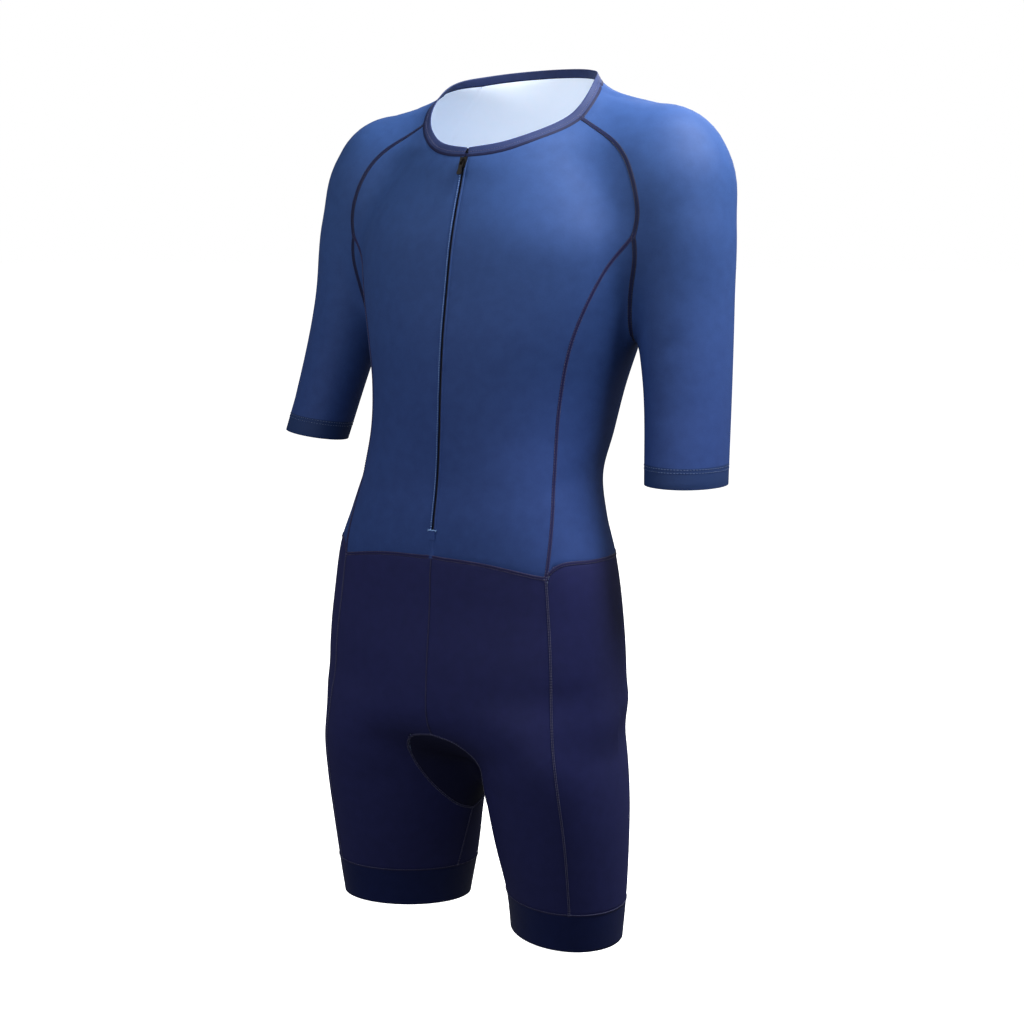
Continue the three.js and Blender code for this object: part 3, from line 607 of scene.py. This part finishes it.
# %% The knits
upper_knit = knit("upper knit", *LIT_SHOULDER_BLUE, painted_shade=True)
sleeve_knit = knit("sleeve knit", *LIT_SHOULDER_BLUE, painted_shade=True, hemmed=True)
shorts_knit = knit("shorts knit", paint(29, 33, 74), paint(38, 42, 92))
# The gusset's blues are darker than the shorts' as painted shade, for the deep shadow between the legs.
shaded_gusset_knit = knit("gusset knit", paint(19, 21, 48), paint(27, 30, 62))
lining = knit("knit inside", paint(216, 227, 242), paint(230, 238, 250), rough=0.8, painted_glow=0.3)
binding_knit = knit("binding knit", paint(37, 48, 86), paint(52, 64, 106), rough=0.55)
band_dyes = paint(16, 24, 61), paint(24, 34, 80)
gripper = knit("gripper band satin", *band_dyes, rough=0.42, rib=RIB["band"])
print([f.material.name for f in (upper_knit, shorts_knit, lining, binding_knit, gripper)])

# %% [markdown]
# ## Sheets on the figure
# A knit panel has smooth cut edges and one even thickness. To get there, a skin's slivers are
# dropped, every edge is cut into four, the free edges are rounded between the real corners of
# the cut, and all points are settled on the figure again with the creases added. A plain
# subdivision modifier would pull the edges inwards and open the seams.


# %% Evening out a line
def even(line, step=2.0):
    """The same line with evenly spaced points."""
    lengths = np.concatenate([[0], np.cumsum(np.linalg.norm(np.diff(line, axis=0), axis=1))])
    count = max(3, int(round(lengths[-1] / step)) + 1)
    at = np.linspace(0, lengths[-1], count)
    return np.stack([np.interp(at, lengths, line[:, k]) for k in range(3)], 1)


def calm(line, rounds):
    """Takes the small corners out of a line and keeps its ends."""
    line = line.copy()
    for _ in range(rounds):
        line[1:-1] = line[1:-1] * 0.5 + (line[:-2] + line[2:]) * 0.25
    return line


print("a line of 10 mm in steps of 2:", len(even(np.array([[0, 0, 0], [10, 0, 0.0]]))))

# %% Corners and slivers
SHARP = 38  # a bend of more degrees than this is a real corner of the cut


def corners_of(loop):
    """Where the corners of a free edge are."""
    points = np.array([v.co for v in loop])
    into, out = points - np.roll(points, 1, 0), np.roll(points, -1, 0) - points
    cosine = (into * out).sum(1) / np.linalg.norm(into, axis=1) / np.linalg.norm(out, axis=1)
    return points[cosine < math.cos(math.radians(SHARP))]


def drop_slivers(skin, least):
    """Removes faces along the edges that don't face outwards."""
    skin.normal_update()
    middles = np.array([f.calc_center_median() for f in skin.faces])
    facing = (np.array([f.normal for f in skin.faces]) * outward(middles)).sum(1)
    slivers = [f for f, share in zip(skin.faces, facing) if share < least]
    bmesh.ops.delete(skin, geom=slivers, context="FACES")


print("corners of a panel:", len(corners_of(free_loops(skins["front_left"])[0])))

# %% Cutting finer
FINER = dict(cuts=3, rounds=12, before=0.2, after=0.05)
SAME = 0.001  # a point this near a corner is the corner


def round_loop(loop, fixed):
    """Rounds a free edge between its fixed corners."""
    points = np.array([v.co for v in loop])
    held = np.array([(np.abs(fixed - point).max(1) < SAME).any() for point in points])[:, None]
    for _ in range(FINER["rounds"]):
        middle = points * 0.5 + (np.roll(points, 1, 0) + np.roll(points, -1, 0)) * 0.25
        points = np.where(held, points, middle)
    for vertex, point in zip(loop, points):
        vertex.co = point


def cut_finer(skin, lift):
    """Cuts every edge, rounds the free edges and settles all on the figure."""
    drop_slivers(skin, FINER["before"])
    fixed = np.concatenate([corners_of(loop) for loop in free_loops(skin)])
    bmesh.ops.subdivide_edges(skin, edges=skin.edges, cuts=FINER["cuts"], use_grid_fill=True)
    for loop in free_loops(skin):
        round_loop(loop, fixed)
    points = settle(points_of(skin))
    points = points + outward(points) * (creases(points) + lift)[:, None]
    for vertex, point in zip(skin.verts, points):
        vertex.co = point
    drop_slivers(skin, FINER["after"])


print("each edge becomes", FINER["cuts"] + 1)


# %% A mesh in millimetres
def mesh_object(name, points, faces, finishes, smooth=True):
    """An object from points in millimetres."""
    mesh = bpy.data.meshes.new(name)
    mesh.from_pydata((np.asarray(points) * MM).tolist(), [], faces)
    mesh.validate()
    for finish in finishes:
        mesh.materials.append(finish.material)
    mesh.shade_smooth() if smooth else mesh.shade_flat()
    made = bpy.data.objects.new(name, mesh)
    bpy.context.scene.collection.objects.link(made)
    return made


def store(made, name, values):
    """Keeps a number at each point of a mesh, for its material to read."""
    layer = made.data.attributes.new(name, "FLOAT", "POINT")
    layer.data.foreach_set("value", np.asarray(values, dtype=np.float32))


# %% [markdown]
# ### The cloth of one panel
# The visible cloth is thinner than the solid's wall. A Solidify modifier gives it that
# thickness inwards and a second material inside, which costs nothing to change later. Its
# narrow rim would bend the shading of the last row of faces, so a Weighted Normal modifier
# lets the big faces lead.

# %% One sheet
SHEET = 0.9  # how thick the visible cloth is, in mm


def sheet_of(node, finish, inside, lift=0.0):
    """The smooth sheet of cloth that stands for one solid."""
    skin = skins[node].copy()
    cut_finer(skin, lift)
    points = points_of(skin)
    skin.verts.index_update()
    faces = [[v.index for v in f.verts] for f in skin.faces]
    skin.free()
    made = mesh_object(node + "_cloth", points, faces, (finish, inside))
    thick = made.modifiers.new("thickness", "SOLIDIFY")
    thick.thickness, thick.offset = SHEET * MM, -1
    thick.material_offset, thick.material_offset_rim = 1, 0
    made.modifiers.new("steady shading", "WEIGHTED_NORMAL").weight = 100
    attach(made, "suit")
    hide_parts(node)
    return made


def search_tree(points):
    """A tree that finds the nearest of many points quickly."""
    tree = KDTree(len(points))
    for i, point in enumerate(points):
        tree.insert(point, i)
    tree.balance()
    return tree


def open_end(sleeve):
    """The free edge at a sleeve's lower end."""
    return min(edges[sleeve], key=lambda loop: loop[:, 2].mean())


# %% [markdown]
# ### The cut pieces
# Each row gives the flat size of what shows of one cut piece, in metres and square metres.
# Worn, the knit is stretched, so each cut is about a tenth smaller than the shape it fills.
# The neck binding wraps over the edge, so its inside has the colour of its outside, and it
# lies a little prouder than the panels.

# %% Sizes and finishes of the pieces
PIECES = {
    "front": dict(flat=(0.165, 0.375), area=0.050, slot="upper_knit", finish=upper_knit),
    "back": dict(flat=(0.50, 0.45), area=0.180, slot="upper_knit", finish=upper_knit),
    "sleeve": dict(flat=(0.36, 0.42), area=0.083, slot="upper_knit", finish=sleeve_knit),
    "neck_binding": dict(flat=(0.010, 0.46), area=0.0046, slot="binding", finish=binding_knit),
    "shorts_front": dict(flat=(0.145, 0.355), area=0.042, slot="shorts_knit", finish=shorts_knit),
    "shorts_back": dict(flat=(0.36, 0.39), area=0.100, slot="shorts_knit", finish=shorts_knit),
    "crotch_gusset": dict(flat=(0.105, 0.34), area=0.0215, slot="shorts_knit", finish=shaded_gusset_knit),
    "leg_band": dict(flat=(0.42, 0.039), area=0.0162, slot="gripper_band", finish=gripper),
}
BINDING_LIFT = 0.45
print("kinds of piece:", list(PIECES))

# %% Making the sheets
for name in CLOTH:
    kind = name.removesuffix("_left").removesuffix("_right")
    piece = PIECES[kind]
    folded = kind == "neck_binding"
    inside, lift = (binding_knit, BINDING_LIFT) if folded else (lining, 0.0)
    made = sheet_of(name, piece["finish"], inside, lift=lift)
    if kind == "sleeve":
        hem = search_tree(even(open_end(name), 1.0))
        store(made, "hem", [hem.find(v.co / MM)[2] for v in made.data.vertices])
    worn = sum(face.area for face in made.data.polygons)
    print(name, "worn %.4f m2, cut %.4f m2" % (worn, piece["area"]))

# %% [markdown]
# ## Finding the seams
# A seam runs where two cut pieces meet, so it can be found instead of drawn: walk round one
# piece's edge, and wherever the neighbour's edge is closer than a stitch, the seam lies midway.
# A long run of such points is one seam line, which is then evened out and settled on the
# figure.

# %% Lines along which pieces meet
NEIGHBOUR = 2.4  # edges closer than this meet in a seam
SHORTEST = 30  # points, a millimetre apart, in the shortest seam
CALM = 27


def runs_of(close):
    """Where each unbroken run of True starts and ends."""
    changes = np.flatnonzero(np.diff(np.concatenate([[0], close.astype(int), [0]])))
    return zip(changes[::2], changes[1::2])


def shared_edges(first, second):
    """Every line along which two cloth pieces meet, longest first."""
    others = search_tree(np.concatenate([even(loop, 0.8) for loop in edges[second]]))
    found = []
    for loop in edges[first]:
        walk = even(loop, 1.0)
        near = [others.find(point) for point in walk]
        close = np.array([hit[2] < NEIGHBOUR for hit in near])
        middle = (walk + np.array([hit[0] for hit in near])) / 2
        start = 0 if close.all() else int(np.argmax(~close))
        close, middle = np.roll(close, -start), np.roll(middle, -start, axis=0)
        for begin, end in runs_of(close):
            if end - begin > SHORTEST:
                found.append(settle(calm(even(middle[begin:end], 2.0), CALM)))
    return sorted(found, key=len, reverse=True)


def length_of(line):
    return float(np.linalg.norm(np.diff(line, axis=0), axis=1).sum())


side_seam = shared_edges("shorts_front_left", "shorts_back_left")
print("side seam of the shorts: %.0f mm" % length_of(side_seam[0]))

# %% [markdown]
# ## Seam tapes and stitches
# A flat-locked seam is a narrow raised band with rows of thread on it. The band is a strip of
# points moved sideways from the seam line and settled back onto the figure, so it follows
# every curve. Each stitch is a small bead of thread with its own geometry, because even from
# a distance the broken line that they make is what says "sewn".


# %% Strips
class Strip:
    """Collects bands and stitches of one finish into one mesh."""

    def __init__(self):
        self.points, self.faces, self.along, self.count = [], [], [], 0

    def add(self, points, faces, along):
        """Faces count from this call's first point. along tells the finish where it is."""
        self.faces += [[self.count + corner for corner in face] for face in faces]
        self.points.append(points)
        self.along.append(along)
        self.count += len(points)

    def grid(self, rows, along):
        """rows is a grid of points: one row per step along, one column per step across."""
        steps, columns = rows.shape[:2]
        index = np.arange(steps * columns).reshape(steps, columns)
        quads = np.stack([index[:-1, :-1], index[:-1, 1:], index[1:, 1:], index[1:, :-1]], -1)
        self.add(rows.reshape(-1, 3), quads.reshape(-1, 4).tolist(), np.repeat(along, columns))

    def make(self, name, finish):
        made = mesh_object(name, np.concatenate(self.points), self.faces, (finish,))
        store(made, "along", np.concatenate(self.along))
        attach(made, "suit")
        return made


print("a strip holds", list(vars(Strip())))


# %% Directions along a line
def frame_along(line):
    """Outward and sideways directions along a line on the figure."""
    out = outward(line)
    side = np.cross(out, np.gradient(line, axis=0))
    return out, side / np.linalg.norm(side, axis=1, keepdims=True)


def upwards(line):
    """The same line, run so that its positive side is the upper one."""
    return line if frame_along(line)[1][:, 2].mean() > 0 else line[::-1]


def lengthen(line, extra):
    """The line run on a little past both ends."""
    first, last = line[0] - line[1], line[-1] - line[-2]
    before = line[0] + first / np.linalg.norm(first) * extra
    after = line[-1] + last / np.linalg.norm(last) * extra
    return np.concatenate([[before], line, [after]])


print("a line of 3 points, run on:", len(lengthen(np.eye(3), 1.0)))

# %% Bands
STEP = 2.5  # between the rows of a band, in mm
ACROSS = np.linspace(-1, 1, 7)  # the places across a band


def lay_band(strip, line, width, lift=0.15, crown=0.35, tuck=-0.5):
    """A raised band along a line. crown arches it, and tuck moves its two edges into the cloth."""
    line = even(line, STEP)
    out, side = frame_along(line)
    rows = []
    for share in ACROSS:
        at = settle(line + side * (share * width / 2), 2)
        sunk = tuck if abs(share) == 1 else 0
        rows.append(at + out * (lift + sunk + crown * (1 - share**2) + creases(at))[:, None])
    strip.grid(np.stack(rows, 1), np.arange(len(line)) * STEP)


# %% Stitches
# One stitch, lying along x: two tips and two rings of four, in half lengths and half widths.
BODY_END, TIP_DROP = 0.55, -0.2
RING = [(0, 1), (1, 0), (0, -1), (-1, 0)]
rings = [(x, y, z) for x in (-BODY_END, BODY_END) for y, z in RING]
BEAD = np.array([(-1, 0, TIP_DROP)] + rings + [(1, 0, TIP_DROP)])
TURNS = [(k, (k + 1) % 4) for k in range(4)]
BEAD_FACES = [(0, 1 + a, 1 + b) for a, b in TURNS] + [(9, 5 + b, 5 + a) for a, b in TURNS]
BEAD_FACES += [(1 + a, 5 + a, 5 + b, 1 + b) for a, b in TURNS]


def beads(strip, at, run, side, out, long, thick):
    """Places one bead of thread at every point."""
    shape = BEAD * [long / 2, thick / 2, thick / 2]
    points = at[:, None] + np.einsum("bk,nkj->nbj", shape, np.stack([run, side, out], 1))
    firsts = range(0, len(BEAD) * len(at), len(BEAD))
    faces = [[first + corner for corner in face] for first in firsts for face in BEAD_FACES]
    strip.add(points.reshape(-1, 3), faces, np.repeat(np.arange(len(at)), len(BEAD)))


def sew(strip, line, offset=0.0, pitch=2.6, long=1.9, thick=0.55, lift=0.3, slant=0.0):
    """A row of stitches beside a line. slant turns each one, as in a zigzag."""
    line = even(line, pitch)
    out, side = frame_along(line)
    at = settle(line + side * offset, 2)
    run = np.cross(side, out)
    turn = slant * (-1) ** np.arange(len(line))[:, None]
    turned = run * np.cos(turn) + side * np.sin(turn)
    raised = lift + creases(at)
    beads(strip, at + out * raised[:, None], turned, np.cross(out, turned), out, long, thick)


print("points in a stitch:", len(BEAD))

# %% [markdown]
# ### Thread and seam bands
# Sewing thread is smooth and takes the light a little differently from stitch to stitch. A
# slow wave over the number of the stitch gives that drift. The bands are knit again, in the
# darker shades that show on the seams.


# %% Threads and bands
def thread(name, colour):
    """Smooth fibre with a little colour drift from stitch to stitch."""
    made = Finish(name, Roughness=0.5, Sheen_Weight=0.2)
    wave = (made.value("along") * 2.4).sine() * 0.5 + 0.5
    drift = wave * 0.6 + made.noise(600.0) * 0.4
    made.set(Base_Color=made.mix(drift, darker(colour, 0.7), colour))
    return made


navy_band = knit("seam band navy", paint(20, 25, 56), paint(28, 34, 70), rough=0.55)
plum_band = knit("seam band plum", paint(27, 27, 62), paint(38, 37, 80), rough=0.55)
shorts_band = knit("seam band shorts", paint(28, 30, 62), paint(40, 42, 78), rough=0.55)
navy_thread = thread("thread navy", paint(18, 22, 50))
plum_thread = thread("thread plum", paint(46, 44, 96))
hem_thread = thread("thread hem blue", paint(74, 100, 152))
grey_thread = thread("thread grey violet", paint(78, 80, 120))
blue_thread = thread("thread pale blue", paint(120, 164, 222))
print("materials so far:", len(bpy.data.materials))

# %% [markdown]
# ### Sewing the panels
# The shoulder seams wear a broad dark tape, the body seams a narrower plum one, and the seams
# of the shorts show as pale thread on cloth of their own colour. Most seams come in pairs, so
# a table row names the two kinds of piece that meet, and both sides are sewn from it.


# %% Pairs of seams
def both(first, second):
    """The same seam on the wearer's left and right."""
    sides = [[n if n in CLOTH else n + side for n in (first, second)] for side in ("_left", "_right")]
    return [tuple(pair) for pair in sides]


def across_middle(kind):
    return (kind + "_left", kind + "_right")


RAGLAN = both("front", "sleeve") + both("back", "sleeve")
NECK_SEAM = both("neck_binding", "front") + both("neck_binding", "sleeve")
NECK_SEAM += [("neck_binding", "back")]
BODY = both("front", "back") + both("front", "shorts_front") + both("back", "shorts_back")
SHORTS_SIDE = both("shorts_front", "shorts_back")
SHORTS_SIDE += both("crotch_gusset", "shorts_front") + both("crotch_gusset", "shorts_back")
SHORTS_MIDDLE = [across_middle("shorts_front"), across_middle("shorts_back")]
LEG_BAND = both("leg_band", "shorts_front") + both("leg_band", "shorts_back")
print("raglan seams:", RAGLAN)

# %% The sewn seams
PAST_END = 2.2  # how far a band runs on, to tuck under the next one
THREAD_LIFT = 0.45
SEWING = {
    "raglan": dict(pairs=RAGLAN, width=5.2, rows=(-1.7, 1.7), wears=(navy_band, navy_thread)),
    "neck": dict(pairs=NECK_SEAM, width=4.4, rows=(3.4,), wears=(navy_band, plum_thread)),
    "body": dict(pairs=BODY, width=4.0, rows=(-1.3, 1.3), wears=(plum_band, plum_thread)),
    "shorts_side": dict(pairs=SHORTS_SIDE, width=2.8, rows=(-0.8, 0.8), wears=(shorts_band, grey_thread)),
    "shorts_middle": dict(pairs=SHORTS_MIDDLE, width=2.4, rows=(0.0,), wears=(shorts_band, plum_thread)),
    "leg_band": dict(pairs=LEG_BAND, width=2.6, rows=(1.0,), wears=(shorts_band, grey_thread)),
}
for name, seam in SEWING.items():
    band, stitches = Strip(), Strip()
    for pair in seam["pairs"]:
        for line in map(upwards, shared_edges(*pair)):
            lay_band(band, lengthen(line, PAST_END), seam["width"])
            for row in seam["rows"]:
                sew(stitches, line, offset=row, lift=THREAD_LIFT)
    band.make(name + "_seam", seam["wears"][0])
    stitches.make(name + "_stitches", seam["wears"][1])
    print(name, "stitches:", stitches.count // len(BEAD))

# %% [markdown]
# ### The shoulder seams from inside
# Through the neck, the inside of the shoulder seams shows. There the seam is covered by a flat
# band of the pale inside of the knit. It is laid like the others, but under the sheet, so its
# arch and its tucked edges point the other way.

# %% Inside bands
inside_seam = Strip()
for pair in RAGLAN:
    for line in shared_edges(*pair):
        lay_band(inside_seam, even(line, STEP)[1:-1], 6.0, lift=-0.75, crown=-0.4, tuck=0.5)
inside_seam.make("raglan_inside_seam", lining)
print("inside seam points:", inside_seam.count)

# %% [markdown]
# ### The sleeve hems
# Each sleeve ends in a turned band, held by a row of twin-needle stitches. The band is darker
# because the print is stretched over two layers. The rows follow the open end, shifted up the
# arm and settled on it.

# %% Twin-needle rows
UP_THE_ARM = np.array([-10, 23, 85])  # from the cuff towards the shoulder, on the left arm
up_left = UP_THE_ARM / np.linalg.norm(UP_THE_ARM)
hem_rows = Strip()
for node, sign in (("sleeve_left", 1), ("sleeve_right", -1)):
    ring = calm(even(open_end(node), 2.0), 12)
    for height in (HEM["stitched"], HEM["stitched"] + HEM["between"]):
        row = settle(ring + up_left * [sign, 1, 1] * height)
        sew(hem_rows, row, pitch=3.0, long=2.1, thick=0.5, lift=0.15)
hem_rows.make("sleeve_hem_stitches", hem_thread)
print("hem stitches:", hem_rows.count // len(BEAD))

# %% [markdown]
# ## The zip
# The zip is a fine coil set in from behind, so only a dark cord shows between two folded edges.
# The coil is one rung after another across a black cord, laid as the same beads that serve
# for stitches.

# %% The coil
FRONT = dict(y=-90, z=-80, lean=0.2, rounds=30)  # a first guess at the front's middle line
ZIP = dict(top=-84, bottom=-430, pitch=1.45, wide=3.2, thick=1.0, sunk=-0.55, cord=4.6, deep=-1.0)


def down_the_middle(top, bottom, step=2.0):
    """A line down the middle of the front, settled on the figure."""
    heights = np.linspace(top, bottom, int((top - bottom) / step) + 1)
    guess = FRONT["y"] - FRONT["lean"] * (FRONT["z"] - heights)
    line = np.stack([0 * heights, guess, heights], 1)
    for _ in range(FRONT["rounds"]):
        line[:, 1] += figure(line)
    return line


plastic = Finish("coil plastic", Base_Color=paint(9, 9, 13), Roughness=0.5, Specular_IOR_Level=0.2)
coil = Strip()
middle = down_the_middle(ZIP["top"], ZIP["bottom"])
lay_band(coil, middle, ZIP["cord"], lift=ZIP["deep"], crown=0)
spots = even(middle, ZIP["pitch"])
out, side = frame_along(spots)
sunk = spots + out * ZIP["sunk"]
beads(coil, sunk, side, np.cross(out, side), out, ZIP["wide"], ZIP["thick"])
rungs = coil.make("zip_coil_rungs", plastic)
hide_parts("zip_coil")
print("rungs:", len(spots))

# %% [markdown]
# ### The edges of the zip
# Each front is folded back along the zip, and the fold is a narrow rounded band. The edge on
# the wearer's right shows the pale blue stitches that hold the tape, and the other one dark
# ones. Below the zip the two fronts are sewn together.

# %% Folds and the seam below
FOLD = dict(offset=2.25, width=2.5)
BELOW = dict(top=-439, bottom=-458, width=6.5, lift=0.1, crown=0.5)
folds, below = Strip(), Strip()
out, side = frame_along(middle)
left_side = 1 if side[0, 0] > 0 else -1  # which way the wearer's left is
for way in (-1, 1):
    lay_band(folds, settle(middle + side * way * FOLD["offset"]), FOLD["width"])
folds.make("zip_edge_folds", upper_knit)
seam_line = down_the_middle(BELOW["top"], BELOW["bottom"])
lay_band(below, seam_line, BELOW["width"], lift=BELOW["lift"], crown=BELOW["crown"])
below.make("seam_below_zip", upper_knit)
print("fold points:", folds.count)

# %% Pale stitches beside the coil
pale_rows = Strip()
sew(pale_rows, middle, offset=-1.75 * left_side, pitch=2.3, long=1.3, thick=0.85, lift=0.5)
pale_rows.make("zip_edge_stitches", blue_thread)
print("pale stitches:", pale_rows.count // len(BEAD))

# %% [markdown]
# ### The ends of the zip
# A tight bar of zigzag stitches in the same pale thread ends the zip at the waist. Above the
# slider, the tape's ends run up behind the binding and close the small gap there.

# %% The bar at the waist
BAR = dict(pitch=0.75, long=2.4, thick=0.6, lift=0.9, slant=1.3)
BAR_REACH, BAR_HEIGHT = np.array([4.6, 0, 0]), -431.5
bar = Strip()
at_waist = down_the_middle(BAR_HEIGHT, BAR_HEIGHT - 2)[0]
sew(bar, settle(np.linspace(at_waist - BAR_REACH, at_waist + BAR_REACH, 12)), **BAR)
bar.make("zip_end_bartack", blue_thread)
print("stitches in the bar:", bar.count // len(BEAD))

# %% Dark stitches and the tape's ends
dark_rows, ends = Strip(), Strip()
sew(dark_rows, middle, offset=1.9 * left_side, pitch=1.8, long=1.15, thick=0.45, lift=0.45)
dark_rows.make("zip_far_edge_stitches", navy_thread)
tape_dyes = paint(16, 17, 26), paint(24, 26, 38)
woven = knit("zip tape", *tape_dyes, rough=0.7, rib=RIB["tape"])
lay_band(ends, down_the_middle(-72, -92), 10, lift=-1.3, crown=0)
ends.make("zip_tape_ends", woven)
print("dark stitches:", dark_rows.count // len(BEAD))

# %% [markdown]
# ### The hard parts of the zip
# The tape, the stop, the slider and its pull are carried over from the packed model, because
# they already have their real shape there. They only get a finish and, the hard ones, softer
# edges from a Bevel modifier. The slider is painted metal, a little worn.


# %% Tape, stop, slider and pull
def refinish(node, finish):
    """Gives a carried-over piece its finish."""
    part = frame["nodes"][node]
    part.data.materials.clear()
    part.data.materials.append(finish.material)
    return part


tape = refinish("zip_tape", woven)

painted = Finish("painted zip metal", Metallic=0.6, Roughness=0.38)
worn = painted.noise(400.0, 4.0)
painted.set(Base_Color=painted.mix(worn, paint(15, 14, 14), paint(40, 36, 31)))
for node, finish in (("zip_slider", painted), ("zip_pull", painted), ("zip_stop", upper_knit)):
    soft = refinish(node, finish).modifiers.new("soft edges", "BEVEL")
    soft.width, soft.segments = 0.3 * MM, 2
print("carried over:", ["zip_tape", "zip_slider", "zip_pull", "zip_stop"])

# %% [markdown]
# ## Light
# The picture is a studio one: a big soft light from above and to the wearer's left makes the
# near shoulder shine, a wide one in front keeps the far side readable, and weak ones from the
# sides and behind show the rest of the form when the suit is turned.

# %% Lamps
LAMPS = [
    dict(name="key", at=(0.68, 0.1, 0.79), aim=(0.12, 0, -0.25), size=0.5, watts=35),
    dict(name="left", at=(-0.8, -0.95, 0.45), aim=(0, 0, -0.3), size=0.8, watts=4.8),
    dict(name="front", at=(0.3, -1.75, 0.35), aim=(0, 0, -0.5), size=1.2, watts=12),
    dict(name="side", at=(1.2, 0.8, -0.35), aim=(0.1, 0, -0.35), size=0.8, watts=2.2),
    dict(name="behind", at=(-0.4, 1.9, 0.7), aim=(0, 0, -0.4), size=1.4, watts=14),
]
for lamp in LAMPS:
    light = bpy.data.lights.new(lamp["name"], "AREA")
    light.energy, light.size = lamp["watts"], lamp["size"]
    made = bpy.data.objects.new(lamp["name"], light)
    made.location = lamp["at"]
    made.rotation_mode = "QUATERNION"
    pointing = Vector(lamp["aim"]) - Vector(lamp["at"])
    made.rotation_quaternion = pointing.to_track_quat("-Z", "Y")
    bpy.context.scene.collection.objects.link(made)
print("lamps:", [lamp["name"] for lamp in LAMPS])

# %% [markdown]
# ## Floor and backdrop
# Both are plain white. The floor shines by itself and throws no light on the dark cloth, or
# it would lay a grey veil on it. In the same way the sky is white for the camera and dim for
# everything else.

# %% Floor and sky
FLOOR = dict(height=-925, reach=30000)
floor_paint = Finish("floor paint", Base_Color=(0.93, 0.93, 0.93, 1), Roughness=0.9)
floor_paint.set(Emission_Color=(1, 1, 1, 1), Emission_Strength=1.0)
signs = ((-1, -1), (1, -1), (1, 1), (-1, 1))
corners = [(x * FLOOR["reach"], y * FLOOR["reach"], FLOOR["height"]) for x, y in signs]
floor = mesh_object("floor", corners, [(0, 1, 2, 3)], (floor_paint,), smooth=False)
floor.visible_diffuse = floor.visible_glossy = False

SKY_FILL = 0.1
world = bpy.data.worlds.new("studio")
world.use_nodes = True
sky = Nodes(world.node_tree)
seen = sky.node("LightPath", "Is_Camera_Ray")
backdrop = world.node_tree.nodes["Background"]
sky.feed(backdrop.inputs["Color"], (1, 1, 1, 1))
sky.feed(backdrop.inputs["Strength"], seen * (1 - SKY_FILL) + SKY_FILL)
bpy.context.scene.world = world
bpy.context.scene.view_settings.view_transform = "Standard"
print("sky fill:", SKY_FILL)
